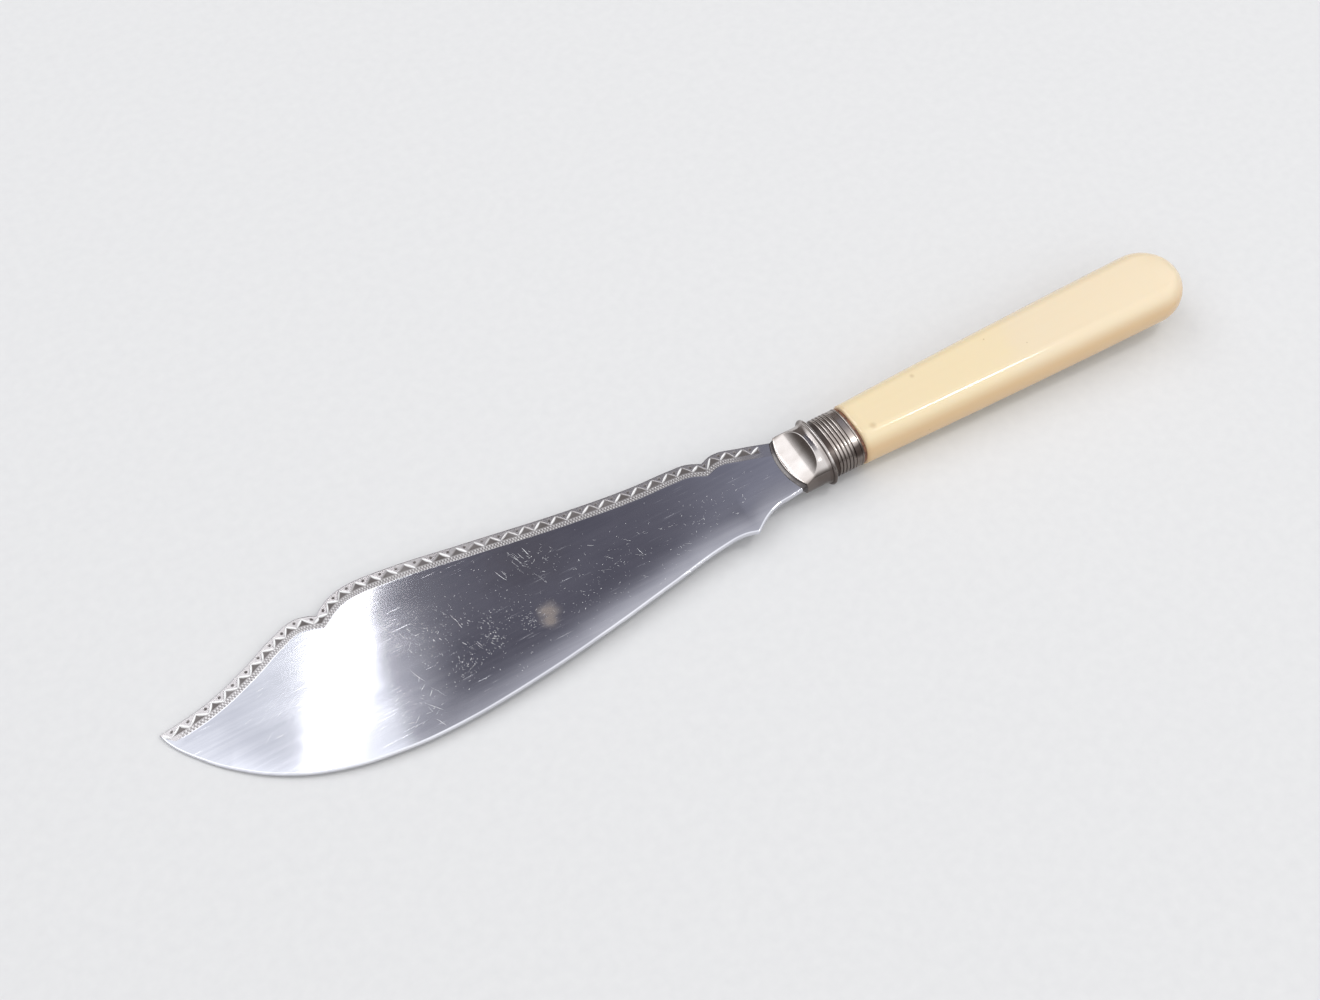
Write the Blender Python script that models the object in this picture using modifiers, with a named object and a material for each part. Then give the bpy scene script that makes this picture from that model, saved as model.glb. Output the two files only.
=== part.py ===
"""Fish serving knife: plated blade, scooped bolster, reeded ferrule and cream handle.

Own frame of the knife: X runs along the handle towards the butt with zero at the handle shoulder,
Y points to the back of the blade, Z is square to the flat of the blade. Lengths are in metres.
"""
import math

import bmesh
import bpy
import numpy as np
from mathutils import Vector

# Whole knife
FIT_GAP = 0.0003
RING_POINTS = 48

# Handle
HANDLE_LENGTH = 0.1162
HANDLE_FRONT_WIDTH = 0.0187
HANDLE_BUTT_WIDTH = 0.0240
HANDLE_SWELL = 0.0009
HANDLE_FRONT_DEPTH = 0.0136
HANDLE_BUTT_DEPTH = 0.0130
HANDLE_SIDE_ROUND = 0.0052
BUTT_ROUND_LENGTH = 0.0125
BUTT_ROUND_DEPTH = 0.0050

# Ferrule and its resin bed
FERRULE_LENGTH = 0.0092
FERRULE_WIDTH = 0.0179
FERRULE_DEPTH = 0.0127
FERRULE_WALL = 0.0006
CEMENT_BED = 0.0005
CEMENT_FLANGE = 0.0005
REED_COUNT = 5
REED_PITCH = 0.00115
REED_RISE = 0.00032
BAND_LENGTH = 0.0026
RIM_WIDTH = 0.0007

# Bolster
BOLSTER_LENGTH = 0.0119
BOLSTER_WIDTH = 0.0192
BOLSTER_DEPTH = 0.0126
BEAD_WIDTH = 0.0013
BEAD_RISE = 0.0012
FLARE_LENGTH = 0.0016
FLARE_RISE = 0.0004
FRONT_ARC_RADIUS = 0.0210
SCOOP_FLOOR = 0.0016
SCOOP_RADIUS = 0.0136
SCOOP_ENTRY = 9.0
SOCKET_DEPTH = 0.0034

# Tang and the bore it is cemented into
TANG_LENGTH = 0.0730
TANG_ROOT_RADIUS = 0.0026
TANG_END_RADIUS = 0.0015
BORE_RADIUS = 0.0037
BORE_TAIL = 0.0030

# Blade: knots of the back and of the cutting edge, tip first; True marks a sharp corner
BLADE_ROOT_THICKNESS = 0.0017
BLADE_TIP_THICKNESS = 0.0009
BLADE_EDGE_ROUND = 0.0003
BLADE_ROOT_WIDTH = 0.0178
TONGUE_WIDTH = 0.0130
TONGUE_LENGTH = 0.0042
SOLDER_WIDTH = 0.0010
SOLDER_RISE = 0.0005
SOLDER_SIDE = 0.0004
TIP = (-0.2053, 0.0121)
BACK_KNOTS = [
    (-0.1915, 0.0145, False),
    (-0.1797, 0.0187, False),
    (-0.1684, 0.0240, False),
    (-0.1617, 0.0260, False),
    (-0.1578, 0.0253, False),
    (-0.1554, 0.0240, True),
    (-0.1528, 0.0262, False),
    (-0.1487, 0.0281, False),
    (-0.1441, 0.0288, False),
    (-0.1350, 0.0282, False),
    (-0.1100, 0.0239, False),
    (-0.0805, 0.0187, False),
    (-0.0625, 0.0164, False),
    (-0.0500, 0.0157, False),
    (-0.0455, 0.0151, False),
    (-0.0414, 0.0131, True),
    (-0.0374, 0.0142, False),
    (-0.0295, 0.0121, False),
]
EDGE_KNOTS = [
    (-0.2038, 0.0083, False),
    (-0.1996, 0.0018, False),
    (-0.1922, -0.0066, False),
    (-0.1804, -0.0155, False),
    (-0.1678, -0.0210, False),
    (-0.1530, -0.0241, False),
    (-0.1378, -0.0251, False),
    (-0.1140, -0.0237, False),
    (-0.0895, -0.0205, False),
    (-0.0670, -0.0167, False),
    (-0.0503, -0.0139, False),
    (-0.0430, -0.0136, False),
    (-0.0391, -0.0147, True),
    (-0.0342, -0.0115, False),
    (-0.0302, -0.0099, False),
    (-0.0254, -0.0094, False),
]

# Stations along the knife that follow from the sizes above
SEAM_X = -FIT_GAP
FLANGE_X = SEAM_X - CEMENT_FLANGE
FERRULE_BACK_X = FLANGE_X - FIT_GAP
FERRULE_FRONT_X = FERRULE_BACK_X - FERRULE_LENGTH
BOLSTER_BACK_X = FERRULE_FRONT_X - FIT_GAP
BOLSTER_FRONT_X = BOLSTER_BACK_X - BOLSTER_LENGTH
BEAD_X = BOLSTER_BACK_X - BEAD_WIDTH / 2
FRONT_ARC_X = BOLSTER_FRONT_X + FRONT_ARC_RADIUS
TANG_FRONT_X = BOLSTER_BACK_X - SOCKET_DEPTH + FIT_GAP
SPIGOT_FRONT_X = FERRULE_FRONT_X + 2 * FIT_GAP
BORE_END_X = TANG_FRONT_X + TANG_LENGTH + BORE_TAIL

for old in list(bpy.data.objects):
    bpy.data.objects.remove(old, do_unlink=True)

knife = bpy.data.collections.new("fish_serving_knife")
shop = bpy.data.collections.new("cutters")
bpy.context.scene.collection.children.link(knife)
bpy.context.scene.collection.children.link(shop)


def material(name, colour, roughness, metallic):
    made = bpy.data.materials.new(name)
    made.use_nodes = True
    shader = made.node_tree.nodes["Principled BSDF"]
    shader.inputs["Base Color"].default_value = (*colour, 1.0)
    shader.inputs["Roughness"].default_value = roughness
    shader.inputs["Metallic"].default_value = metallic
    return made


def put(name, mesh, collection, paint=None):
    """Make an object of a mesh; pieces are smooth shaded and carry one material, cutters show as wire."""
    piece = bpy.data.objects.new(name, mesh)
    collection.objects.link(piece)
    if paint is None:
        piece.hide_render = True
        piece.display_type = "WIRE"
        return piece
    mesh.materials.clear()
    mesh.materials.append(paint)
    mesh.shade_smooth()
    return piece


def loft(name, rings, looped=False):
    """Bridge rings of equal point count; the ends are capped, or joined to each other for a tube."""
    mesh = bpy.data.meshes.new(name)
    bm = bmesh.new()
    rows = [[bm.verts.new(point) for point in ring] for ring in rings]
    pairs = list(zip(rows, rows[1:]))
    if looped:
        pairs.append((rows[-1], rows[0]))
    for low, high in pairs:
        for i in range(len(low)):
            j = (i + 1) % len(low)
            bm.faces.new((low[i], low[j], high[j], high[i]))
    if not looped:
        bm.faces.new(rows[0][::-1])
        bm.faces.new(rows[-1])
    bmesh.ops.recalc_face_normals(bm, faces=bm.faces[:])
    bm.to_mesh(mesh)
    bm.free()
    return mesh


def section(x, half_width, half_depth, flat=0.0, power=2.4):
    """Ring of points across the knife: a squared oval, or true flats of a half width with round sides."""
    ring = []
    step = 2 * math.pi / RING_POINTS
    reach = math.cos(step / 2)
    for i in range(RING_POINTS):
        c = math.cos((i + 0.5) * step) / reach
        s = math.sin((i + 0.5) * step) / reach
        y = math.copysign(flat + (half_width - flat) * abs(c) ** (2 / power), c)
        z = math.copysign(half_depth * abs(s) ** (2 / power), s)
        ring.append((x, y, z))
    return ring


def cylinder(name, radius, depth, centre, axis, points=48, end_radius=None, paint=None, collection=shop):
    """Round bar or cone about the given axis, standing on its centre."""
    bm = bmesh.new()
    far_radius = radius if end_radius is None else end_radius
    bmesh.ops.create_cone(bm, cap_ends=True, segments=points, radius1=radius, radius2=far_radius, depth=depth)
    turn = Vector((0, 0, 1)).rotation_difference(Vector(axis)).to_matrix()
    bmesh.ops.rotate(bm, verts=bm.verts[:], cent=(0, 0, 0), matrix=turn)
    bmesh.ops.translate(bm, verts=bm.verts[:], vec=centre)
    mesh = bpy.data.meshes.new(name)
    bm.to_mesh(mesh)
    bm.free()
    return put(name, mesh, collection, paint)


def block(name, low, high):
    """Square cutter between two opposite corners."""
    bm = bmesh.new()
    bmesh.ops.create_cube(bm, size=1.0)
    size = [b - a for a, b in zip(low, high)]
    middle = [(a + b) / 2 for a, b in zip(low, high)]
    bmesh.ops.scale(bm, verts=bm.verts[:], vec=size)
    bmesh.ops.translate(bm, verts=bm.verts[:], vec=middle)
    mesh = bpy.data.meshes.new(name)
    bm.to_mesh(mesh)
    bm.free()
    return put(name, mesh, shop)


def boolean(piece, cutter, operation):
    step = piece.modifiers.new(operation.lower() + "_" + cutter.name, "BOOLEAN")
    step.operation = operation
    step.solver = "EXACT"
    step.object = cutter


def settle(piece):
    """Work the modifiers of a piece into its mesh and weld doubled points."""
    bpy.context.view_layer.update()
    done = piece.evaluated_get(bpy.context.evaluated_depsgraph_get())
    mesh = bpy.data.meshes.new_from_object(done)
    bm = bmesh.new()
    bm.from_mesh(mesh)
    bmesh.ops.remove_doubles(bm, verts=bm.verts[:], dist=1e-6)
    bmesh.ops.dissolve_degenerate(bm, dist=1e-6, edges=bm.edges[:])
    bm.to_mesh(mesh)
    bm.free()
    piece.modifiers.clear()
    piece.data = mesh


def bead(middle, width, rise, steps=4):
    """Stations and rises across one rounded reed."""
    points = []
    for i in range(steps + 1):
        turn = math.pi * i / steps
        points.append((middle - width / 2 * math.cos(turn), rise * math.sin(turn)))
    return points


silver = material("plated_blade", (0.60, 0.61, 0.65), 0.16, 1.0)
polished = material("plated_bolster", (0.72, 0.71, 0.70), 0.12, 1.0)
tarnished = material("silver_ferrule", (0.62, 0.58, 0.55), 0.24, 1.0)
solder_grey = material("silver_solder", (0.36, 0.34, 0.34), 0.35, 1.0)
ivorine = material("cream_ivorine", (0.90, 0.79, 0.55), 0.30, 0.0)
steel = material("tang_steel", (0.35, 0.34, 0.33), 0.45, 1.0)
resin = material("brown_resin", (0.20, 0.09, 0.05), 0.55, 0.0)
rosin = material("tang_resin", (0.23, 0.12, 0.06), 0.60, 0.0)

# Handle: moulded cream grip, flat faced, flaring to a rounded butt, with a spigot that fills the ferrule
bed_out = FIT_GAP + FERRULE_WALL
spigot_in = bed_out + CEMENT_BED + FIT_GAP
rings = []
for x in (SPIGOT_FRONT_X, 0.0):
    rings.append(section(x, FERRULE_WIDTH / 2 - spigot_in, FERRULE_DEPTH / 2 - spigot_in))
round_x = HANDLE_LENGTH - BUTT_ROUND_LENGTH
stations = list(np.linspace(0.0, round_x, 7))
stations += [round_x + BUTT_ROUND_LENGTH * math.sin(math.pi / 2 * i / 9) for i in range(1, 9)]
stations.append(HANDLE_LENGTH - 0.00008)
for x in stations:
    share = x / HANDLE_LENGTH
    flare = (HANDLE_BUTT_WIDTH - HANDLE_FRONT_WIDTH) * share
    half_width = (HANDLE_FRONT_WIDTH + flare + HANDLE_SWELL * 4 * share * (1 - share)) / 2
    half_depth = (HANDLE_FRONT_DEPTH + (HANDLE_BUTT_DEPTH - HANDLE_FRONT_DEPTH) * share) / 2
    into = max(0.0, (x - round_x) / BUTT_ROUND_LENGTH)
    half_width *= math.sqrt(1 - into ** 2)
    drop = max(0.0, (x - HANDLE_LENGTH + BUTT_ROUND_DEPTH) / BUTT_ROUND_DEPTH)
    half_depth *= 0.35 + 0.65 * math.sqrt(1 - drop ** 2)
    rings.append(section(x, half_width, half_depth, max(0.0, half_width - HANDLE_SIDE_ROUND), 2.0))
handle = put("handle", loft("handle", rings), knife, ivorine)
bore_length = BORE_END_X - SPIGOT_FRONT_X + 0.001
bore_middle = ((BORE_END_X + SPIGOT_FRONT_X - 0.001) / 2, 0, 0)
boolean(handle, cylinder("tang_bore", BORE_RADIUS, bore_length, bore_middle, (1, 0, 0), 32), "DIFFERENCE")
settle(handle)

# Ferrule: silver sleeve with a plain cove, five reeds and a plain band that ends in a fine rim
profile = [(FERRULE_FRONT_X, 0.0)]
reed_start = FERRULE_BACK_X - BAND_LENGTH - REED_COUNT * REED_PITCH
for i in range(REED_COUNT):
    profile += bead(reed_start + (i + 0.5) * REED_PITCH, REED_PITCH * 0.86, REED_RISE)
profile.append((FERRULE_BACK_X - BAND_LENGTH + 0.0001, 0.7 * REED_RISE))
profile.append((FERRULE_BACK_X - RIM_WIDTH - 0.0001, 0.7 * REED_RISE))
profile += bead(FERRULE_BACK_X - RIM_WIDTH / 2, RIM_WIDTH, REED_RISE)
rings = [section(x, FERRULE_WIDTH / 2 + rise, FERRULE_DEPTH / 2 + rise) for x, rise in profile]
for x in (FERRULE_BACK_X, FERRULE_FRONT_X):
    rings.append(section(x, FERRULE_WIDTH / 2 - FERRULE_WALL, FERRULE_DEPTH / 2 - FERRULE_WALL))
ferrule = put("ferrule", loft("ferrule", rings, looped=True), knife, tarnished)

# Resin bed: thin brown sleeve under the ferrule with a flange that shows as the line at the handle
bed_in = bed_out + CEMENT_BED
bed = [
    (SPIGOT_FRONT_X, bed_out),
    (FLANGE_X, bed_out),
    (FLANGE_X, 0.0),
    (SEAM_X, 0.0),
    (SEAM_X, bed_in),
    (SPIGOT_FRONT_X, bed_in),
]
rings = [section(x, FERRULE_WIDTH / 2 - inset, FERRULE_DEPTH / 2 - inset) for x, inset in bed]
put("ferrule_cement", loft("ferrule_cement", rings, looped=True), knife, resin)

# Bolster: oval block that flares to a bead at the back, with a rounded front and a scoop in each face
bead_front_x = BOLSTER_BACK_X - BEAD_WIDTH
profile = [(BOLSTER_FRONT_X - 0.001, 0.0), (bead_front_x - FLARE_LENGTH, 0.0)]
profile.append((bead_front_x - FLARE_LENGTH / 2, FLARE_RISE / 4))
for x, rise in bead(BEAD_X, BEAD_WIDTH, BEAD_RISE - FLARE_RISE, 6):
    profile.append((x, FLARE_RISE + rise))
rings = [section(x, BOLSTER_WIDTH / 2 + rise, BOLSTER_DEPTH / 2 + rise) for x, rise in profile]
bolster = put("bolster", loft("bolster", rings), knife, polished)
arc_centre = (FRONT_ARC_X, 0, 0)
front_arc = cylinder("bolster_front_arc", FRONT_ARC_RADIUS, 0.04, arc_centre, (0, 0, 1), 128)
boolean(bolster, front_arc, "INTERSECT")
entry = math.radians(SCOOP_ENTRY)
scoop_x = BOLSTER_FRONT_X - SCOOP_RADIUS * math.sin(entry)
scoop_z = SCOOP_FLOOR + SCOOP_RADIUS * math.cos(entry)
for side, label in ((1, "top"), (-1, "bottom")):
    middle = (scoop_x, 0, side * scoop_z)
    boolean(bolster, cylinder("scoop_" + label, SCOOP_RADIUS, 0.04, middle, (0, 1, 0), 160), "DIFFERENCE")
half_slot = BLADE_ROOT_THICKNESS / 2 + FIT_GAP
half_tongue = TONGUE_WIDTH / 2 + FIT_GAP
slot_end = BOLSTER_FRONT_X + TONGUE_LENGTH + FIT_GAP
slot_low = (BOLSTER_FRONT_X - 0.002, -half_tongue, -half_slot)
slot_high = (slot_end, half_tongue, half_slot)
boolean(bolster, block("blade_slot", slot_low, slot_high), "DIFFERENCE")
socket_middle = (BOLSTER_BACK_X + (0.002 - SOCKET_DEPTH) / 2, 0, 0)
socket_radius = TANG_ROOT_RADIUS + FIT_GAP
socket = cylinder("tang_socket", socket_radius, SOCKET_DEPTH + 0.002, socket_middle, (1, 0, 0), 24)
boolean(bolster, socket, "DIFFERENCE")
settle(bolster)

# Tang: forged eight-sided taper, brazed into the bolster and cemented in the handle
tang_middle = (TANG_FRONT_X + TANG_LENGTH / 2, 0, 0)
cylinder("tang", TANG_ROOT_RADIUS, TANG_LENGTH, tang_middle, (1, 0, 0), 8, TANG_END_RADIUS, steel, knife)

# Tang resin: plug that fills the bore round the tang and behind its end
plug_front = SPIGOT_FRONT_X + FIT_GAP
plug_end = BORE_END_X - FIT_GAP
plug_radius = BORE_RADIUS - FIT_GAP
plug_middle = ((plug_front + plug_end) / 2, 0, 0)
plug = cylinder("tang_cement", plug_radius, plug_end - plug_front, plug_middle, (1, 0, 0), 32, None, rosin, knife)
hole_root = TANG_ROOT_RADIUS + 1.2 * FIT_GAP
hole_end = TANG_END_RADIUS + 1.2 * FIT_GAP
hole_middle = (tang_middle[0] + FIT_GAP / 2, 0, 0)
hole = cylinder("tang_hole", hole_root, TANG_LENGTH + FIT_GAP, hole_middle, (1, 0, 0), 8, hole_end)
boolean(plug, hole, "DIFFERENCE")
settle(plug)

# Blade: rolled plate sawn to the outline, thinned towards the tip, all edges lightly rounded
tongue_x = BOLSTER_FRONT_X + TONGUE_LENGTH
half_root = BLADE_ROOT_WIDTH / 2
arc_reach = FRONT_ARC_RADIUS + FIT_GAP
root_x = FRONT_ARC_X - math.sqrt(arc_reach ** 2 - half_root ** 2)
neck_x = FRONT_ARC_X - math.sqrt(arc_reach ** 2 - (TONGUE_WIDTH / 2) ** 2)
root_knots = [(root_x, half_root, True), (neck_x, TONGUE_WIDTH / 2, True), (tongue_x, TONGUE_WIDTH / 2, True)]
knots = [(*TIP, True)] + BACK_KNOTS + root_knots
knots += [(x, -y, sharp) for x, y, sharp in root_knots[::-1]]
knots += EDGE_KNOTS[::-1]
outline = bpy.data.curves.new("blade_outline", "CURVE")
outline.dimensions = "2D"
outline.fill_mode = "BOTH"
outline.extrude = BLADE_ROOT_THICKNESS / 2
outline.resolution_u = 6
spline = outline.splines.new("BEZIER")
spline.bezier_points.add(len(knots) - 1)
spline.use_cyclic_u = True
for point, (x, y, sharp) in zip(spline.bezier_points, knots):
    point.co = (x, y, 0)
    point.handle_left_type = "VECTOR" if sharp else "AUTO"
    point.handle_right_type = "VECTOR" if sharp else "AUTO"
drawn = bpy.data.objects.new("blade_outline", outline)
shop.objects.link(drawn)
drawn.hide_render = True
bpy.context.view_layer.update()
flat = bpy.data.meshes.new_from_object(drawn.evaluated_get(bpy.context.evaluated_depsgraph_get()))
bm = bmesh.new()
bm.from_mesh(flat)
bmesh.ops.remove_doubles(bm, verts=bm.verts[:], dist=1e-6)
bmesh.ops.dissolve_limit(bm, angle_limit=0.01, verts=bm.verts[:], edges=bm.edges[:])
for vert in bm.verts:
    share = min(1.0, max(0.0, (root_x - vert.co.x) / (root_x - TIP[0])))
    vert.co.z *= 1 + share * (BLADE_TIP_THICKNESS / BLADE_ROOT_THICKNESS - 1)
bmesh.ops.recalc_face_normals(bm, faces=bm.faces[:])
bm.to_mesh(flat)
bm.free()
blade = put("blade", flat, knife, silver)
rounding = blade.modifiers.new("edge_round", "BEVEL")
rounding.width = BLADE_EDGE_ROUND
rounding.segments = 1
rounding.limit_method = "ANGLE"
rounding.angle_limit = math.radians(60)
settle(blade)

# Solder: collar of silver solder round the blade where it enters the bolster
inner = FRONT_ARC_RADIUS + FIT_GAP
collar_height = 2 * (BLADE_ROOT_THICKNESS / 2 + FIT_GAP + SOLDER_RISE)
solder = cylinder("blade_solder", inner + SOLDER_WIDTH, collar_height, arc_centre, (0, 0, 1), 160, None,
                  solder_grey, knife)
boolean(solder, cylinder("collar_bore", inner, 0.01, arc_centre, (0, 0, 1), 160), "DIFFERENCE")
half_gap = BLADE_ROOT_THICKNESS / 2 + FIT_GAP
half_mouth = BLADE_ROOT_WIDTH / 2 + FIT_GAP
reach = half_mouth + SOLDER_SIDE
boolean(solder, block("collar_ends", (-0.05, -reach, -0.01), (FRONT_ARC_X - 0.01, reach, 0.01)), "INTERSECT")
mouth = block("collar_mouth", (-0.05, -half_mouth, -half_gap), (0, half_mouth, half_gap))
boolean(solder, mouth, "DIFFERENCE")
settle(solder)

# Rest on the table: the knife bears on the tip of the blade and on the bead behind the bolster
tip_drop = BLADE_TIP_THICKNESS / 2
bead_drop = BOLSTER_DEPTH / 2 + BEAD_RISE
pitch = math.atan2(bead_drop - tip_drop, BEAD_X - TIP[0])
rest = bpy.data.objects.new("knife_rest", None)
knife.objects.link(rest)
rest.rotation_euler = (0, -pitch, 0)
pieces = [piece for piece in knife.objects if piece.type == "MESH"]
for piece in pieces:
    piece.parent = rest
bpy.context.view_layer.update()
corners = np.array([piece.matrix_world @ v.co for piece in pieces for v in piece.data.vertices])
low = corners.min(axis=0)
high = corners.max(axis=0)
rest.location = (-(low[0] + high[0]) / 2, -(low[1] + high[1]) / 2, -low[2])
bpy.context.view_layer.update()
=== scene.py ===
"""Looks of a fish serving knife: engraved plated blade, scooped bolster, reeded ferrule, cream handle."""
import math
import random

import bpy
import numpy as np
from mathutils import Matrix, Vector


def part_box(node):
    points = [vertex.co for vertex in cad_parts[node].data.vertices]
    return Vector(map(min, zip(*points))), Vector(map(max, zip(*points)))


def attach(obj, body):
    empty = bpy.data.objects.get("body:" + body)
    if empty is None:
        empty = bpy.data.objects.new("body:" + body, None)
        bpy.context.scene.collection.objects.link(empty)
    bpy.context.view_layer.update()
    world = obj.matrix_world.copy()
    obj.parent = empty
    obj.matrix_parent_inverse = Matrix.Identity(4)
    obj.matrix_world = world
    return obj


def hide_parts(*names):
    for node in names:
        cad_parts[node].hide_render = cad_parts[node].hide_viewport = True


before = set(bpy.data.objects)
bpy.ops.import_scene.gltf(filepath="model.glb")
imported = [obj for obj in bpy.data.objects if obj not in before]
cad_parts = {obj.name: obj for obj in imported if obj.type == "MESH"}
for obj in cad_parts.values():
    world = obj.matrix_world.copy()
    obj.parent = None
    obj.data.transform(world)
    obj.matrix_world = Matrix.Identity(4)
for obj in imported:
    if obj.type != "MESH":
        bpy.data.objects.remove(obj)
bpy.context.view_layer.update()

# Blade: nickel silver plate, sawn to a notched outline, ground, silver plated and polished.
# A border is cut along the back with a graver: zigzag strokes with painted highlights, punched dots and two
# milled rows.
# Its root is let into the bolster and soldered. Years of use left fine scratches and one brown stain.
TIP = (-0.20518, 0.0121)
BACK_KNOTS = [
    (-0.1915, 0.0145, False),
    (-0.1797, 0.0187, False),
    (-0.1684, 0.0240, False),
    (-0.1617, 0.0260, False),
    (-0.1578, 0.0253, False),
    (-0.1554, 0.0240, True),
    (-0.1528, 0.0262, False),
    (-0.1487, 0.0281, False),
    (-0.1441, 0.0288, False),
    (-0.1350, 0.0282, False),
    (-0.1100, 0.0239, False),
    (-0.0805, 0.0187, False),
    (-0.0625, 0.0164, False),
    (-0.0500, 0.0157, False),
    (-0.0455, 0.0151, False),
    (-0.0414, 0.0131, True),
    (-0.0374, 0.0142, False),
    (-0.0295, 0.0121, False),
]
EDGE_KNOTS = [
    (-0.2038, 0.0083, False),
    (-0.1996, 0.0018, False),
    (-0.1922, -0.0066, False),
    (-0.1804, -0.0155, False),
    (-0.1678, -0.0210, False),
    (-0.1530, -0.0241, False),
    (-0.1378, -0.02509, False),
    (-0.1140, -0.0237, False),
    (-0.0895, -0.0205, False),
    (-0.0670, -0.0167, False),
    (-0.0503, -0.0139, False),
    (-0.0430, -0.0136, False),
    (-0.0391, -0.0147, True),
    (-0.0342, -0.0115, False),
    (-0.0302, -0.0099, False),
    (-0.0254, -0.0094, False),
]
ROOT_X = -0.0204
ROOT_HALF = 0.0089
ROOT_THICK = 0.0017
TIP_THICK = 0.0009
EDGE_ROUND = 0.0003
CURVE_STEPS = 40
STEP = 0.00014
GROUP = 4
TINY = 1e-9

# The knife's own frame has X from tip to butt, with its zero at the front of the handle.
# At rest the tip and the bead of the bolster touch the table
FERRULE_MID = -0.0057
BEAD_X = -0.01125
BEAD_DROP = 0.0075
pitch = math.atan2(BEAD_DROP - TIP_THICK / 2, BEAD_X - TIP[0])
tilt = Matrix.Rotation(-pitch, 4, "Y")
low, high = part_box("ferrule")
rest = Matrix.Translation((low + high) / 2 - tilt @ Vector((FERRULE_MID, 0, 0))) @ tilt


def traced(name, knots):
    """Fine points along a smooth line through the knots; a knot marked True is a sharp corner."""
    curve = bpy.data.curves.new(name, "CURVE")
    curve.dimensions = "2D"
    curve.fill_mode = "NONE"
    curve.resolution_u = CURVE_STEPS
    spline = curve.splines.new("BEZIER")
    spline.bezier_points.add(len(knots) - 1)
    for point, (x, y, sharp) in zip(spline.bezier_points, knots):
        point.co = (x, y, 0)
        point.handle_left_type = "VECTOR" if sharp else "AUTO"
        point.handle_right_type = "VECTOR" if sharp else "AUTO"
    drawn = bpy.data.objects.new(name, curve)
    bpy.context.scene.collection.objects.link(drawn)
    bpy.context.view_layer.update()
    mesh = bpy.data.meshes.new_from_object(drawn.evaluated_get(bpy.context.evaluated_depsgraph_get()))
    points = np.array([v.co[:2] for v in mesh.vertices])
    bpy.data.objects.remove(drawn, do_unlink=True)
    return points


def spaced(points, count):
    """The same line with evenly spaced points, and its length."""
    run = np.concatenate([[0], np.cumsum(np.hypot(*np.diff(points, axis=0).T))])
    at = np.linspace(0, run[-1], count)
    return np.stack([np.interp(at, run, points[:, 0]), np.interp(at, run, points[:, 1])], 1), run[-1]


def unit(arrows):
    """Directions of length one; an arrow without length stays as it is."""
    return arrows / np.maximum(np.linalg.norm(arrows, axis=1), TINY)[:, None]


def made(name, verts, faces, paint, sharp=35):
    """Piece from points in the knife's own frame, smooth shaded up to an angle and set in its place."""
    mesh = bpy.data.meshes.new(name)
    mesh.from_pydata([tuple(map(float, v)) for v in verts], [], faces)
    mesh.validate()
    mesh.shade_smooth()
    mesh.set_sharp_from_angle(angle=math.radians(sharp))
    mesh.materials.append(paint)
    knife = mesh.attributes.new("knife", "FLOAT_VECTOR", "POINT")
    knife.data.foreach_set("vector", np.array(verts, dtype=np.float32).reshape(-1))
    mesh.transform(rest)
    piece = bpy.data.objects.new(name, mesh)
    bpy.context.scene.collection.objects.link(piece)
    return piece


def painted(name):
    """New material with its node tree and its one shader."""
    paint = bpy.data.materials.new(name)
    paint.use_nodes = True
    return paint, paint.node_tree, paint.node_tree.nodes["Principled BSDF"]


def add(tree, kind, sockets=None, **settings):
    """New node with its settings; its sockets, by name or number, are given a value or linked."""
    node = tree.nodes.new("ShaderNode" + kind)
    for key, value in settings.items():
        setattr(node, key, value)
    for key, value in (sockets or {}).items():
        if isinstance(value, bpy.types.NodeSocket):
            tree.links.new(value, node.inputs[key])
        else:
            node.inputs[key].default_value = value
    return node


def attribute(tree, name):
    """Value kept with every point of a mesh."""
    return add(tree, "Attribute", attribute_name=name).outputs["Fac"]


def knife_place(tree):
    """Position in the knife's own frame, kept with every point of a piece."""
    return add(tree, "Attribute", attribute_name="knife").outputs["Vector"]


def object_place(tree):
    """Position in an object's own frame."""
    return add(tree, "TexCoord").outputs["Object"]


def axis(tree, coordinates, letter):
    """One of the three coordinates."""
    return add(tree, "SeparateXYZ", {"Vector": coordinates}).outputs[letter]


def reckoned(tree, operation, first, second=0.0, clamp=False):
    """Result of one step of arithmetic."""
    return add(tree, "Math", {0: first, 1: second}, operation=operation, use_clamp=clamp).outputs[0]


def times(tree, first, second, clamp=False):
    """Product of two values."""
    return reckoned(tree, "MULTIPLY", first, second, clamp)


def plus(tree, first, second):
    """Sum of two values."""
    return reckoned(tree, "ADD", first, second)


def ramp(tree, value, low_at, high_at, low=0.0, high=1.0):
    """Smooth step of a value between two limits."""
    sockets = {"Value": value, "From Min": low_at, "From Max": high_at, "To Min": low, "To Max": high}
    return add(tree, "MapRange", sockets, interpolation_type="SMOOTHSTEP").outputs["Result"]


def mixed(tree, share, first, second):
    """Colour between two colours; a share of one gives the second."""
    return add(tree, "Mix", {0: share, 6: first, 7: second}, data_type="RGBA").outputs[2]


def noise(tree, coordinates, scale, stretch=(1, 1, 1), turn=0.0, detail=3.0, offset=0.0):
    """Noise value on stretched and turned coordinates."""
    placing = {"Vector": coordinates, "Scale": stretch, "Rotation": (0, 0, turn), "Location": (offset,) * 3}
    placed = add(tree, "Mapping", placing).outputs[0]
    return add(tree, "TexNoise", {"Vector": placed, "Scale": scale, "Detail": detail}).outputs["Fac"]


def spot(tree, coordinates, centre, radius, soft):
    """Round mask about a point, with a ragged edge."""
    away = add(tree, "VectorMath", {0: coordinates, 1: centre}, operation="DISTANCE").outputs["Value"]
    ragged = noise(tree, coordinates, 420.0, detail=4.0)
    reach = plus(tree, away, times(tree, ragged, radius))
    return ramp(tree, reach, radius * 1.5 + soft, radius * 1.5 - soft)


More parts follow.
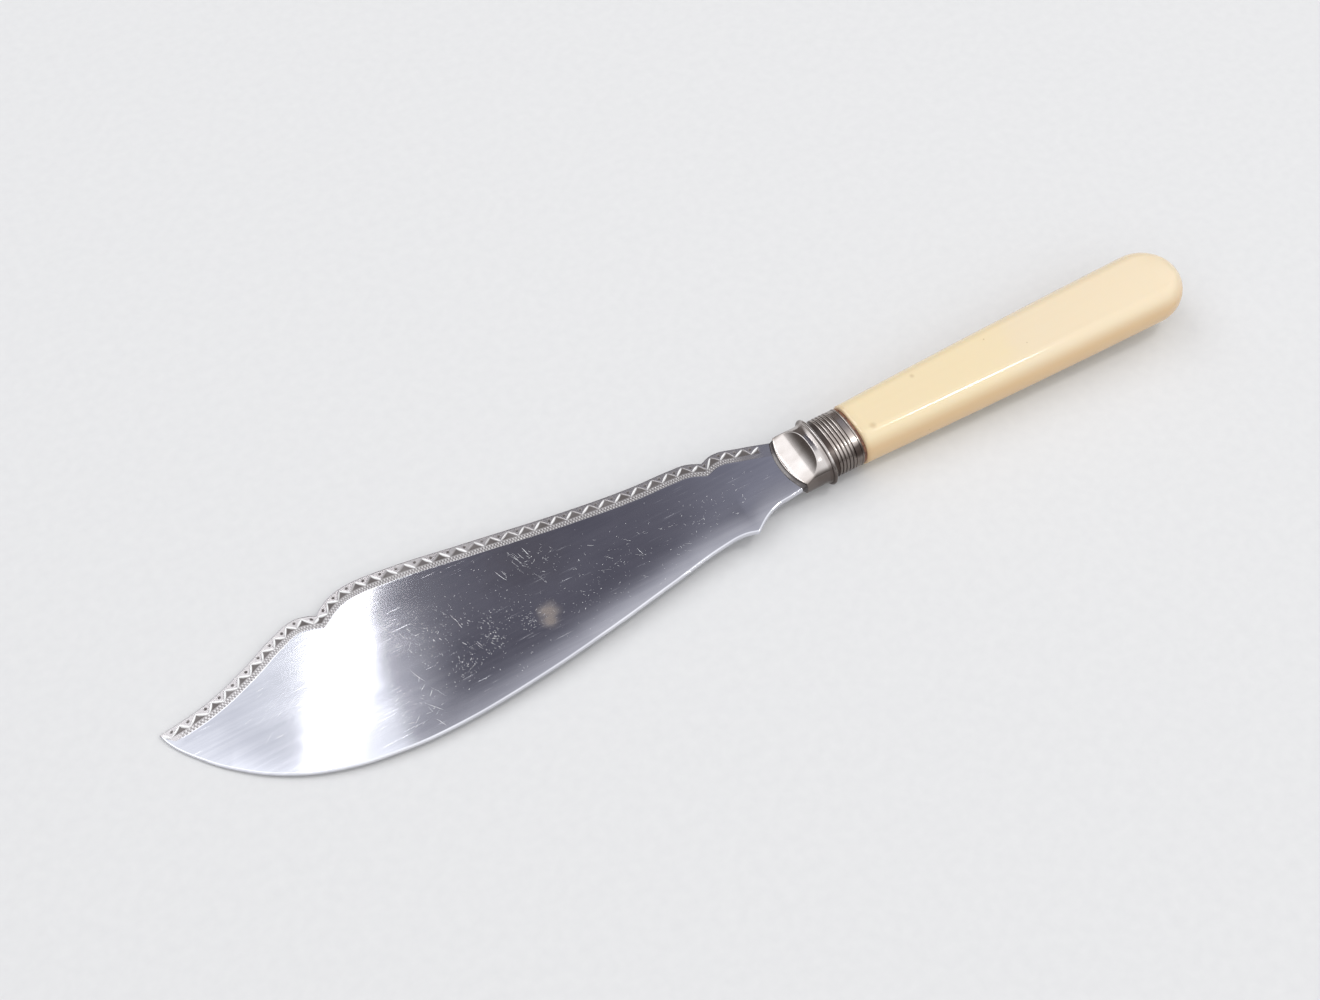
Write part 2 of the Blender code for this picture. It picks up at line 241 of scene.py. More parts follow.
def finished(tree, shader, tone, rough, metal):
    """Colour, roughness and share of metal handed to a shader."""
    tree.links.new(tone, shader.inputs["Base Color"])
    tree.links.new(rough, shader.inputs["Roughness"])
    shader.inputs["Metallic"].default_value = metal


def bumped(tree, shader, height, strength, distance):
    """Relief too fine for the mesh handed to a shader."""
    bump = add(tree, "Bump", {"Height": height, "Strength": strength, "Distance": distance})
    tree.links.new(bump.outputs["Normal"], shader.inputs["Normal"])


# Wear shared by the silver pieces: hairlines of polishing, random scratches, cloudy smudges and tarnish
WEAR_MASKS = ("Hairlines", "Scratches", "Smudge", "Tarnish")
SCRATCH_HEADINGS = (0.25, 0.9, 1.7, 2.5)
wear = bpy.data.node_groups.new("silver_wear", "ShaderNodeTree")
wear.interface.new_socket("Vector", in_out="INPUT", socket_type="NodeSocketVector")
for label in WEAR_MASKS:
    wear.interface.new_socket(label, in_out="OUTPUT", socket_type="NodeSocketFloat")
wear_in = wear.nodes.new("NodeGroupInput")
wear_out = wear.nodes.new("NodeGroupOutput")
coords = wear_in.outputs["Vector"]
hair = noise(wear, coords, 1.0, stretch=(40, 1200, 600), turn=0.06, detail=2.0)
scratches = None
for k, heading in enumerate(SCRATCH_HEADINGS):
    streak = noise(wear, coords, 1.0, stretch=(70, 2300, 70), turn=heading, detail=1.0, offset=3.1 * k)
    drift = noise(wear, coords, 60.0, turn=heading, detail=2.0, offset=7.7 * k)
    line = times(wear, ramp(wear, streak, 0.70, 0.76), ramp(wear, drift, 0.52, 0.66))
    scratches = line if scratches is None else reckoned(wear, "MAXIMUM", scratches, line)
smudge = noise(wear, coords, 38.0, stretch=(1, 1.6, 1), turn=0.4, detail=4.0, offset=1.3)
tarnish = noise(wear, coords, 110.0, detail=6.0, offset=5.9)
for label, value in zip(WEAR_MASKS, (hair, scratches, smudge, tarnish)):
    wear.links.new(value, wear_out.inputs[label])


def worn(tree, coordinates):
    """Wear group placed in a material; gives its masks by name."""
    node = tree.nodes.new("ShaderNodeGroup")
    node.node_tree = wear
    tree.links.new(coordinates, node.inputs["Vector"])
    return node.outputs


# Polished plate with its stain, a brown cloud, a satin border, sunk cuts gone dark with tarnish and painted
# shade, and painted highlights on cuts that would catch the light
PLATE_DIM = (0.635, 0.64, 0.69, 1)
PLATE_CLEAR = (0.755, 0.76, 0.805, 1)
STREAK_TONE = (0.90, 0.90, 0.92, 1)
SCRATCH_TONE = (0.92, 0.92, 0.93, 1)
STAIN_TONE = (0.46, 0.37, 0.29, 1)
CLOUD_TONE = (0.46, 0.42, 0.38, 1)
SATIN_TONE = (0.45, 0.42, 0.41, 1)
SUNK_AND_SHADE_TONE = (0.115, 0.10, 0.095, 1)
PAINTED_GLINT_TONE = (0.97, 0.97, 0.96, 1)
STAIN_HEAD = ((-0.1008, -0.0072, 0.0006), 0.0026, 0.0018)
STAIN_TAIL = ((-0.1020, -0.0098, 0.0006), 0.0022, 0.0016)
CLOUD_SPOT = ((-0.0985, 0.0120, 0.0006), 0.0100, 0.0090)
FACE_RISE = 0.0003
blade_paint, tree, shader = painted("plated_blade_worn_with_painted_light")
coords = knife_place(tree)
masks = worn(tree, coords)
hair = masks["Hairlines"]
scratches = masks["Scratches"]
smudge = masks["Smudge"]
tarnish = masks["Tarnish"]
tarnish_and_shade = attribute(tree, "tarnish_and_shade")
painted_glint = attribute(tree, "painted_glint")
satin = attribute(tree, "satin")
upper = ramp(tree, axis(tree, coords, "Z"), 0.0, FACE_RISE)
stain = reckoned(tree, "MAXIMUM", spot(tree, coords, *STAIN_HEAD), spot(tree, coords, *STAIN_TAIL))
stain = times(tree, stain, upper)
cloud = times(tree, spot(tree, coords, *CLOUD_SPOT), upper)
# Tarnish in the sunk cuts, plus painted shade on strokes that would not catch the light.
sunk_and_shaded = times(tree, tarnish_and_shade, ramp(tree, tarnish, 0.30, 0.60, 0.75, 1.0), clamp=True)
streaks = noise(tree, coords, 1.0, stretch=(22, 900, 100), turn=0.03, offset=2.2)
tone = mixed(tree, ramp(tree, smudge, 0.35, 0.65), PLATE_DIM, PLATE_CLEAR)
tone = mixed(tree, ramp(tree, streaks, 0.35, 0.70, 0.0, 0.20), tone, STREAK_TONE)
tone = mixed(tree, times(tree, scratches, 0.3), tone, SCRATCH_TONE)
tone = mixed(tree, times(tree, stain, 0.70), tone, STAIN_TONE)
tone = mixed(tree, times(tree, cloud, 0.28), tone, CLOUD_TONE)
tone = mixed(tree, times(tree, satin, 0.80), tone, SATIN_TONE)
tone = mixed(tree, times(tree, sunk_and_shaded, 0.92), tone, SUNK_AND_SHADE_TONE)
# Painted highlight: cuts that would catch the light are painted near white.
tone = mixed(tree, painted_glint, tone, PAINTED_GLINT_TONE)
rough = plus(tree, ramp(tree, smudge, 0.3, 0.7, 0.066, 0.080), times(tree, scratches, 0.15))
rough = plus(tree, rough, times(tree, stain, 0.16))
rough = plus(tree, rough, times(tree, satin, 0.20))
rough = plus(tree, rough, times(tree, reckoned(tree, "MAXIMUM", sunk_and_shaded, painted_glint), 0.30))
relief = reckoned(tree, "SUBTRACT", times(tree, hair, 0.05), times(tree, scratches, 0.45))
finished(tree, shader, tone, rough, metal=1.0)
bumped(tree, shader, relief, strength=0.18, distance=0.00002)

# Back and edge as lines of points. The border's fine steps go to the field in groups of four
back_line = traced("back_line", [(*TIP, True)] + BACK_KNOTS + [(ROOT_X, ROOT_HALF, True)])
edge_line = traced("edge_line", [(*TIP, True)] + EDGE_KNOTS + [(ROOT_X, -ROOT_HALF, True)])
back_length = spaced(back_line, 2)[1]
coarse = int(back_length / STEP / GROUP)
fine = coarse * GROUP + 1
back = spaced(back_line, fine)[0]
edge = spaced(edge_line, coarse + 1)[0]
edge_fine = spaced(edge_line, fine)[0]
run = np.linspace(0, back_length, fine)

# Direction of the border inwards from the back: square to the smoothed line, turned to the edge at the tip
BORDER_DEPTH = 0.0062
SMOOTHING = 0.010
BELL_WIDTH = 2.5
SQUARE_FROM_WIDTH = 0.016
TIP_SHARE = 0.80
along = np.gradient(back, axis=0)
square = unit(np.stack([along[:, 1], -along[:, 0]], 1))
reach = int(SMOOTHING / STEP)
bell = np.exp(-np.linspace(-BELL_WIDTH, BELL_WIDTH, 2 * reach + 1) ** 2 / 2)
bell /= bell.sum()
padded = np.pad(square, ((reach, reach), (0, 0)), mode="edge")
square = unit(np.stack([np.convolve(padded[:, k], bell, "valid") for k in (0, 1)], 1))
across = edge_fine - back
width = np.linalg.norm(across, axis=1)
lean = np.clip(width / SQUARE_FROM_WIDTH, 0, 1)[:, None]
inward = unit(unit(across) * (1 - lean) + square * lean)
squeeze = np.minimum(1, TIP_SHARE * width / BORDER_DEPTH)

# Cut pattern of the border over the run along the back and the depth inwards: how deep, how dark from
# tarnish and painted shade, how bright from painted highlights
ROUNDED_ROWS = [0, 0.00008, 0.00016, 0.00024]
FIRST_FLAT_ROW = 0.00034
ROW_STEP = 0.00013
PITCH = 0.00485
PITCH_PLAY = 0.07
FIRST_POST = 0.0012
OUTER = 0.00075
INNER = 0.00300
CUT_MARGIN = 0.001
STEEP_SIDE = 0.65
SHALLOW_SIDE = 1.35
LIT_SPREAD = 2.5
SHINY = 0.5
STROKE_TARNISH_AND_SHADE = 0.9
DOT_FLOOR = 1.4
DOT_RIM = 1.35
DOT_RIM_SLOPE = 3
rows = np.concatenate([ROUNDED_ROWS, np.arange(FIRST_FLAT_ROW, BORDER_DEPTH, ROW_STEP)])
run_at = np.repeat(run[:, None], len(rows), axis=1)
depth_at = rows[None, :] * squeeze[:, None]
dig = np.zeros_like(run_at)
tarnish_and_shade_cut = np.zeros_like(run_at)
painted_glint_cut = np.zeros_like(run_at)
rng = random.Random(7)
posts = []
post = FIRST_POST
while post < back_length + PITCH:
    posts.append(post)
    post += PITCH * rng.uniform(1 - PITCH_PLAY, 1 + PITCH_PLAY)


def stretch_of(start, end):
    """Part of the pattern between two runs along the back, with a small margin."""
    first = max(0, int((start - CUT_MARGIN) / back_length * (fine - 1)))
    last = min(fine, int((end + CUT_MARGIN) / back_length * (fine - 1)) + 2)
    return slice(first, last)


def raised(layer, part, value):
    """Sets part of a layer of the pattern to a value where that is the larger."""
    layer[part] = np.maximum(layer[part], value)


def stroke(start, end, half, depth, shine):
    """One pass of the graver between two points: a lens shaped cut with one steep and one shallow side."""
    (run_0, depth_0), (run_1, depth_1) = start, end
    part = stretch_of(min(run_0, run_1), max(run_0, run_1))
    on_run = run_at[part] - run_0
    on_depth = depth_at[part] - depth_0
    length = math.hypot(run_1 - run_0, depth_1 - depth_0)
    share = (on_run * (run_1 - run_0) + on_depth * (depth_1 - depth_0)) / length ** 2
    aside = (on_run * (depth_1 - depth_0) - on_depth * (run_1 - run_0)) / length
    swell = np.sqrt(np.clip(np.sin(np.pi * np.clip(share, 0, 1)), 0, 1))
    side = np.where(aside > 0, STEEP_SIDE, SHALLOW_SIDE) * half * swell + TINY
    inside = np.clip(1 - np.abs(aside) / side, 0, 1)
    lit = np.clip(LIT_SPREAD * inside, 0, 1)
    raised(dig, part, depth * swell * inside)
    # The stroke's shine is a painted highlight, strongest at its middle.
    raised(painted_glint_cut, part, shine * lit)
    # A zigzag stroke with little shine is painted dark as shade; a hatch with none is dark with tarnish.
    if shine < SHINY:
        raised(tarnish_and_shade_cut, part, (STROKE_TARNISH_AND_SHADE - shine) * lit)


def punch(run_0, depth_0, radius, depth):
    """One round dot."""
    part = stretch_of(run_0, run_0)
    away = np.hypot(run_at[part] - run_0, depth_at[part] - depth_0)
    raised(dig, part, depth * np.clip(DOT_FLOOR * (1 - away / radius), 0, 1))
    raised(tarnish_and_shade_cut, part, np.clip(DOT_RIM_SLOPE * (DOT_RIM - away / radius), 0, 1))


# Zigzag from post to post. Its downward strokes get painted highlights towards the tip, its upward strokes
# at both ends
LAST_POST_GAP = 0.0020
PEAK_PLAY = 0.0002
PEAK_SHARE = 0.25
FOOT_SHARE = 0.92
# Share of painted highlight for each kind of stroke along the back.
DOWN_SHINE = ((0.50, 0.62), (0.95, 0.05))
CLIMB_SHINE = ((0.26, 0.34, 0.50, 0.60), (0.85, 0.10, 0.10, 0.85))
DOWN_HALF = 0.00024
DOWN_SWELL = 0.00016
DOWN_CUT = 0.00015
CLIMB_HALF = 0.00022
CLIMB_SWELL = 0.00014
CLIMB_CUT = 0.00012
DOT_DEPTH_AT = 0.00130
DOT_PLAY = 0.0003
DOT_DEPTH_PLAY = 0.0001
DOT_RADIUS = 0.00036
DOT_CUT = 0.00014
HATCH_GAP = 0.13
HATCH_SLANT = 0.05
HATCH_FOOT = INNER - 0.0001
HATCH_TOP = INNER - 0.0010
HATCH_STAGGER = 0.0004
HATCH_HALF = 0.00013
HATCH_CUT = 0.00006
foot = np.minimum(INNER, FOOT_SHARE * depth_at[:, -1])
zigzag = foot.copy()
for here, there in zip(posts, posts[1:]):
    middle = (here + there) / 2 + rng.uniform(-PEAK_PLAY, PEAK_PLAY)
    span = there - here
    if there > back_length - LAST_POST_GAP:
        break
    deep = float(np.interp(middle, run, foot))
    shallow = min(OUTER, PEAK_SHARE * deep)
    on = (run >= here) & (run <= there)
    zigzag[on] = np.interp(run[on], (here, middle, there), (shallow, deep, shallow))
    down = float(np.interp(here / back_length, *DOWN_SHINE))
    climb = float(np.interp(here / back_length, *CLIMB_SHINE))
    stroke((here, shallow), (middle, deep), DOWN_HALF + DOWN_SWELL * down, DOWN_CUT, down)
    stroke((middle, deep), (there, shallow), CLIMB_HALF + CLIMB_SWELL * climb, CLIMB_CUT, climb)
    if deep < INNER:
        continue
    dot_run = middle + rng.uniform(-DOT_PLAY, DOT_PLAY)
    punch(dot_run, DOT_DEPTH_AT + rng.uniform(-DOT_DEPTH_PLAY, DOT_DEPTH_PLAY), DOT_RADIUS, DOT_CUT)
    for k in (-1, 0, 1):
        at = here + k * span * HATCH_GAP
        hatch_top = (at + span * HATCH_SLANT, HATCH_TOP + abs(k) * HATCH_STAGGER)
        stroke((at, HATCH_FOOT), hatch_top, HATCH_HALF, HATCH_CUT, 0)

# Sunk triangles between zigzag and foot, then milled rows and ruled lines that stop short of tip and root
HOLLOW_GAP = 0.00025
HOLLOW_SLOPE = 0.00015
HOLLOW_CUT = 0.00004
HOLLOW_DULL = 0.95
ROWS_START = 0.0050
ROWS_START_FADE = 0.0015
ROWS_END = 0.0085
ROWS_END_FADE = 0.005
MILLED_ROWS = ((0.00322, 0.00380), (0.00394, 0.00452))
MILL_PITCH = 6 * back_length / (fine - 1)
MILL_SLOPE = 0.00012
MILL_CUT = 0.00008
MILL_SHINE = 0.35
TROUGH_DULL = ((0.25, 0.40), (0.45, 0.85))
RULED_LINES = ((0.00312, 0.0), (0.00387, 0.0), (0.00464, 0.45))
LINE_HALF = 0.00013
LINE_CUT = 0.00004
LINE_DULL = 0.7
SATIN_FROM = 0.0001
SATIN_TO = 0.0047
SATIN_SLOPE = 0.0002
SATIN_END = 0.003
SATIN_END_FADE = 0.006
SATIN_LEAST = 0.4
everywhere = slice(None)
hollow = np.minimum(depth_at - zigzag[:, None] - HOLLOW_GAP, foot[:, None] - depth_at)
hollow = np.clip(hollow / HOLLOW_SLOPE, 0, 1)
raised(tarnish_and_shade_cut, everywhere, HOLLOW_DULL * hollow)
raised(dig, everywhere, HOLLOW_CUT * hollow)
ends = np.clip((run_at - ROWS_START) / ROWS_START_FADE, 0, 1)
ends *= np.clip((back_length - ROWS_END - run_at) / ROWS_END_FADE, 0, 1)
trough = np.interp(run_at / back_length, *TROUGH_DULL)
# Crests of the milled rows and the last ruled line get painted highlights; the troughs darken with tarnish.
for k, (start, end) in enumerate(MILLED_ROWS):
    wave = np.abs(((run_at / MILL_PITCH + 0.5 * k) % 1.0) - 0.5) * 2
    row = np.clip(np.minimum(depth_at - start, end - depth_at) / MILL_SLOPE, 0, 1) * ends
    raised(dig, everywhere, MILL_CUT * wave * row)
    raised(tarnish_and_shade_cut, everywhere, row * np.where(wave > 0.5, trough, 0.0))
    raised(painted_glint_cut, everywhere, row * np.where(wave < 0.5, MILL_SHINE, 0.0))
for line_at, shine in RULED_LINES:
    line = np.clip(1 - np.abs(depth_at - line_at) / LINE_HALF, 0, 1) * ends
    raised(dig, everywhere, LINE_CUT * line)
    raised(tarnish_and_shade_cut, everywhere, (LINE_DULL - shine) * line)
    raised(painted_glint_cut, everywhere, shine * line)
fade = np.clip((back_length - SATIN_END - run_at) / SATIN_END_FADE, 0, 1)
satin_cut = np.clip(np.minimum(depth_at - SATIN_FROM, SATIN_TO - depth_at) / SATIN_SLOPE, 0, 1)
satin_cut *= np.clip(fade + SATIN_LEAST, 0, 1)
tarnish_and_shade_cut *= 1 - painted_glint_cut
dig[:, :len(ROUNDED_ROWS)] = 0

# Form of the face: thinner to the tip, rounded at the outline and falling gently towards the cutting edge
EDGE_DROP = 0.00022
EDGE_DROP_SPAN = 0.0130
CLOSE_DROP = 0.00012
CLOSE_DROP_SPAN = 0.007
CLOSE_DROP_FROM = 0.140
CLOSE_DROP_GROWTH = 0.05
FULL_DROP_WIDTH = 0.02


def half_thick(x):
    """Half the thickness of the plate at a place along it."""
    share = np.clip((ROOT_X - x) / (ROOT_X - TIP[0]), 0, 1)
    return (ROOT_THICK + (TIP_THICK - ROOT_THICK) * share) / 2


def rounded(distance, radius):
    """How far a rounded margin has dropped at a distance from the outline."""
    inside = np.clip(distance, 0, radius)
    return radius - np.sqrt(np.maximum(radius ** 2 - (radius - inside) ** 2, 0))


def fall_at(distance, field_width, x):
    """How far the face has fallen towards the cutting edge at a distance from it."""
    wide = EDGE_DROP * np.clip(1 - distance / EDGE_DROP_SPAN, 0, 1) ** 2
    close = CLOSE_DROP * np.clip(1 - distance / CLOSE_DROP_SPAN, 0, 1) ** 2
    close = close * np.clip((x + CLOSE_DROP_FROM) / CLOSE_DROP_GROWTH, 0, 1)
    return (wide + close) * np.clip(field_width / FULL_DROP_WIDTH, 0, 1)


def strip(first, second, count):
    """Faces between two rows of points, each row given by the number of its first point."""
    return [(first + j, second + j, second + j + 1, first + j + 1) for j in range(count - 1)]


# Border of the blade with its cuts, in fine steps; where it is squeezed at the tip the cuts get shallower
TIP_CUT = 1.4
border = back[:, None] + inward[:, None] * depth_at[..., None]
border_to_edge = np.linalg.norm(edge_fine - border[:, -1], axis=1)[:, None]
top = half_thick(border[..., 0]) - rounded(depth_at, EDGE_ROUND)
top -= dig * np.minimum(1, squeeze * TIP_CUT)[:, None]
top -= fall_at(border_to_edge + depth_at[:, -1:] - depth_at, border_to_edge, border[..., 0])
verts = np.concatenate([border, top[..., None]], 2).reshape(-1, 3).tolist()
across_rows = len(rows)
faces = []
for i in range(fine - 1):
    faces += strip(i * across_rows, (i + 1) * across_rows, across_rows)

# Plain field of the blade from the border to the cutting edge, in wider steps that close up at the edge
MILLIMETRE = 0.001
FREE_COLUMNS = 4
EDGE_STRETCH = 1.6
SHARES = [0.985, 0.80, 0.66, 0.52, 0.40, 0.30, 0.22, 0.16, 0.11, 0.075, 0.05, 0.032, 0.02, 0.01, 0.004, 0.0]
EDGE_LIMITS = [16, 12, 9, 6.5, 4.5, 3.0, 1.9, 1.1, 0.6, 0.30, 0.08, 0.0]
columns = len(SHARES)
inner = border[::GROUP, -1]
span = np.linalg.norm(edge - inner, axis=1)
to_edge = unit(edge - inner)
shares = np.array(SHARES)
limits = np.array([1000] * FREE_COLUMNS + EDGE_LIMITS) * MILLIMETRE
stretched = np.where(np.arange(columns) < FREE_COLUMNS, 1.0, EDGE_STRETCH)
left = np.minimum(shares[None, :] * span[:, None] * stretched, limits[None, :])
left = np.minimum(left, shares[None, :] ** 0.5 * span[:, None])
left = np.minimum.accumulate(left, axis=1)
field = edge[:, None] - to_edge[:, None] * left[..., None]
field_top = half_thick(field[..., 0]) - fall_at(left, span[:, None], field[..., 0])
field_top -= rounded(left, EDGE_ROUND)
base = len(verts)
verts += np.concatenate([field, field_top[..., None]], 2).reshape(-1, 3).tolist()
for i in range(coarse):
    near = [(i * GROUP + k) * across_rows + across_rows - 1 for k in range(GROUP + 1)]
    faces.append(tuple(near + [base + (i + 1) * columns, base + i * columns]))
    faces += strip(base + i * columns, base + (i + 1) * columns, columns)

# Sides and the plain underside
under_back = len(verts)
verts += np.column_stack([back, -half_thick(back[:, 0])]).tolist()
under_edge = len(verts)
verts += np.column_stack([edge, -half_thick(edge[:, 0])]).tolist()
for i in range(fine - 1):
    a = i * across_rows
    faces.append((under_back + i, under_back + i + 1, a + across_rows, a))
for i in range(coarse):
    a = base + i * columns + columns - 1
    faces.append((a, a + columns, under_edge + i + 1, under_edge + i))
underside = [under_back + i for i in reversed(range(fine))]
underside += [under_edge + i for i in range(1, coarse + 1)]
faces.append(tuple(underside))

# Use scratches: narrow bright burrs on the polished field, in drifts where the server was wiped and stacked.
# A drift has its centre, its spread, a count, a heading with its scatter, and the shortest and longest burr
DRIFTS = [
    ((-0.1005, 0.0115), (0.0050, 0.0060), 24, -1.25, 0.15, (0.0012, 0.0046)),
    ((-0.0960, 0.0100), (0.0060, 0.0040), 32, -0.30, 1.20, (0.0003, 0.0012)),
    ((-0.1170, -0.0050), (0.0026, 0.0050), 62, -1.30, 0.80, (0.0002, 0.0012)),
    ((-0.1235, 0.0000), (0.0030, 0.0110), 16, -1.20, 0.25, (0.0006, 0.0032)),
    ((-0.1275, -0.0110), (0.0050, 0.0040), 56, 0.90, 1.60, (0.0002, 0.0012)),
    ((-0.1320, 0.0045), (0.0050, 0.0050), 38, 0.60, 1.60, (0.0003, 0.0014)),
    ((-0.1065, -0.0070), (0.0024, 0.0030), 36, 0.60, 1.60, (0.0002, 0.0012)),
    ((-0.1385, -0.0070), (0.0060, 0.0140), 13, -1.10, 0.25, (0.0010, 0.0060)),
    ((-0.1450, -0.0150), (0.0070, 0.0070), 22, 0.30, 0.60, (0.0006, 0.0030)),
    ((-0.1430, 0.0040), (0.0060, 0.0080), 12, 0.90, 0.50, (0.0006, 0.0030)),
    ((-0.1180, -0.0020), (0.0260, 0.0170), 520, 0.90, 1.60, (0.0001, 0.0006)),
    ((-0.0820, -0.0040), (0.0200, 0.0110), 190, 0.40, 1.60, (0.0001, 0.0008)),
    ((-0.0690, -0.0040), (0.0130, 0.0070), 15, -0.90, 0.50, (0.0010, 0.0040)),
    ((-0.0500, -0.0010), (0.0160, 0.0070), 100, 0.40, 1.40, (0.0001, 0.0010)),
    ((-0.1700, 0.0020), (0.0150, 0.0090), 30, 0.35, 0.35, (0.0010, 0.0050)),
]
DRIFT_SPREAD = 0.6
BACK_MARGIN = 0.0062
EDGE_MARGIN = 0.0012
BURR_BEND = 0.25
BURR_HALF = 0.000014
BURR_HALF_PLAY = 0.000046
BURR_HALF_POWER = 1.6
BURR_END = 0.05
BURR_RISE = 0.28
BURR_STEPS = 4
rng = random.Random(23)
first_burr = len(faces)
for (centre_x, centre_y), (spread_x, spread_y), count, heading, scatter, (short, long) in DRIFTS:
    for k in range(count):
        x = rng.gauss(centre_x, spread_x * DRIFT_SPREAD)
        y = rng.gauss(centre_y, spread_y * DRIFT_SPREAD)
        angle = heading + rng.uniform(-scatter, scatter)
        length = short + (long - short) * rng.random() ** 2
        back_y = back[np.argmin(np.abs(back[:, 0] - x)), 1]
        edge_y = edge[np.argmin(np.abs(edge[:, 0] - x)), 1]
        if y > back_y - BACK_MARGIN - length / 2 or y < edge_y + EDGE_MARGIN + length / 2:
            continue
        bend = rng.uniform(-BURR_BEND, BURR_BEND)
        half = BURR_HALF + BURR_HALF_PLAY * rng.random() ** BURR_HALF_POWER
        start = len(verts)
        for j in range(BURR_STEPS + 1):
            share = j / BURR_STEPS
            turn = angle + bend * (share - 0.5)
            ahead = length * (share - 0.5)
            bow = length * bend * share * (1 - share) * 0.5
            burr_x = x + ahead * math.cos(angle) - bow * math.sin(angle)
            burr_y = y + ahead * math.sin(angle) + bow * math.cos(angle)
            thin = half * math.sqrt(max(BURR_END, math.sin(math.pi * share)))
            side_x = -math.sin(turn) * thin
            side_y = math.cos(turn) * thin
            from_edge = burr_y - np.interp(burr_x, edge[:, 0], edge[:, 1])
            z = float(half_thick(np.array(burr_x)) - fall_at(from_edge, FULL_DROP_WIDTH, burr_x))
            verts.append((burr_x + side_x, burr_y + side_y, z))
            verts.append((burr_x, burr_y, z + BURR_RISE * thin))
            verts.append((burr_x - side_x, burr_y - side_y, z))
        for j in range(BURR_STEPS):
            a = start + 3 * j
            faces += [(a, a + 1, a + 4, a + 3), (a + 1, a + 2, a + 5, a + 4)]

BURR_DIM = (0.78, 0.78, 0.80, 1)
BURR_CLEAR = (0.99, 0.99, 0.98, 1)
burr_paint, tree, shader = painted("scratch_burr")
fleck = noise(tree, knife_place(tree), 900.0)
tone = mixed(tree, fleck, BURR_DIM, BURR_CLEAR)
finished(tree, shader, tone, ramp(tree, fleck, 0.3, 0.7, 0.22, 0.40), metal=1.0)

blade = made("engraved_blade", verts, faces, blade_paint)
mesh = blade.data
mesh.materials.append(burr_paint)
slots = np.zeros(len(mesh.polygons), dtype=np.int32)
slots[first_burr - len(faces):] = 1
mesh.polygons.foreach_set("material_index", slots)
for label, cut in (("tarnish_and_shade", tarnish_and_shade_cut), ("painted_glint", painted_glint_cut), ("satin", satin_cut)):
    values = np.zeros(len(verts), dtype=np.float32)
    values[:cut.size] = cut.reshape(-1)
    layer = mesh.attributes.new(label, "FLOAT", "POINT")
    layer.data.foreach_set("value", values)
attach(blade, "root")
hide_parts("blade")

# Bolster: plated block between blade and ferrule, cast with a bead at the back and a rounded front.
# A hollow scoop is ground into each face. It is soldered to the blade and holds the tang.
BOLSTER_FRONT = -0.0225
BOLSTER_BACK = -0.0106
BOLSTER_HALF_WIDTH = 0.0096
BOLSTER_HALF_DEPTH = 0.0063
BOLSTER_POINTS = 240
BEAD_WIDTH = 0.0013
BEAD_RISE = 0.0012
BEAD_STEPS = 14
FLARE_LENGTH = 0.0016
FLARE_RISE = 0.0004
FRONT_RADIUS = 0.0210
FRONT_END = -0.0158
FRONT_REACH = 0.012
FRONT_STEPS = 26
SCOOP_FLOOR = 0.0016
SCOOP_RADIUS = 0.0136
SCOOP_ENTRY = math.radians(9.0)
SCOOP_WALL = -0.0141
SCOOP_STEPS = 36
FLARE_STEPS = 16
SCOOP_SOFT = 0.00022
NO_SCOOP = 1.0
RIM_ROUND = 0.00040
RIM_TURNS = (90, 70, 50, 30, 15)
MOUTH_SHARE = 0.15
BACK_SHARE = 0.7


def oval(half_width, half_depth, count=144, power=2.4):
    """Points of a slightly squared oval across the knife."""
    turn = np.arange(count) * 2 * math.pi / count
    cosine = np.cos(turn)
    sine = np.sin(turn)
    y = half_width * np.sign(cosine) * np.abs(cosine) ** (2 / power)
    z = half_depth * np.sign(sine) * np.abs(sine) ** (2 / power)
    return y, z


def ring_at(x, y, z):
    """Ring of points that lies square across the knife."""
    return np.stack([np.full_like(y, x), y, z], 1)


def skinned(rings, looped=False):
    """Points and faces of rings of equal count joined in turn; open ends are capped."""
    count = len(rings[0])
    points = [tuple(p) for ring in rings for p in ring]
    skin = []
    total = len(rings)
    for r in range(total if looped else total - 1):
        a = r * count
        b = ((r + 1) % total) * count
        skin += [(a + i, a + (i + 1) % count, b + (i + 1) % count, b + i) for i in range(count)]
    if not looped:
        skin.append(tuple(range(count))[::-1])
        skin.append(tuple((total - 1) * count + i for i in range(count)))
    return points, skin


def front_of(y):
    """Front of the bolster in plan, an arc bulging towards the blade."""
    reach = np.clip(y, -FRONT_REACH, FRONT_REACH)
    return BOLSTER_FRONT + FRONT_RADIUS - np.sqrt(FRONT_RADIUS ** 2 - reach ** 2)


def scooped(x, z):
    """Depth of the section where the ground scoop lies below the oval, with a soft edge between them."""
    middle_x = BOLSTER_FRONT - SCOOP_RADIUS * math.sin(SCOOP_ENTRY)
    middle_z = SCOOP_FLOOR + SCOOP_RADIUS * math.cos(SCOOP_ENTRY)
    inside = SCOOP_RADIUS ** 2 - (x - middle_x) ** 2
    floor = np.where(inside > 0, middle_z - np.sqrt(np.maximum(inside, 0)), NO_SCOOP)
    blend = np.clip(0.5 + 0.5 * (floor - z) / SCOOP_SOFT, 0, 1)
    softened = floor * (1 - blend) + z * blend - SCOOP_SOFT * blend * (1 - blend)
    return np.where(floor > NO_SCOOP / 2, z, softened)


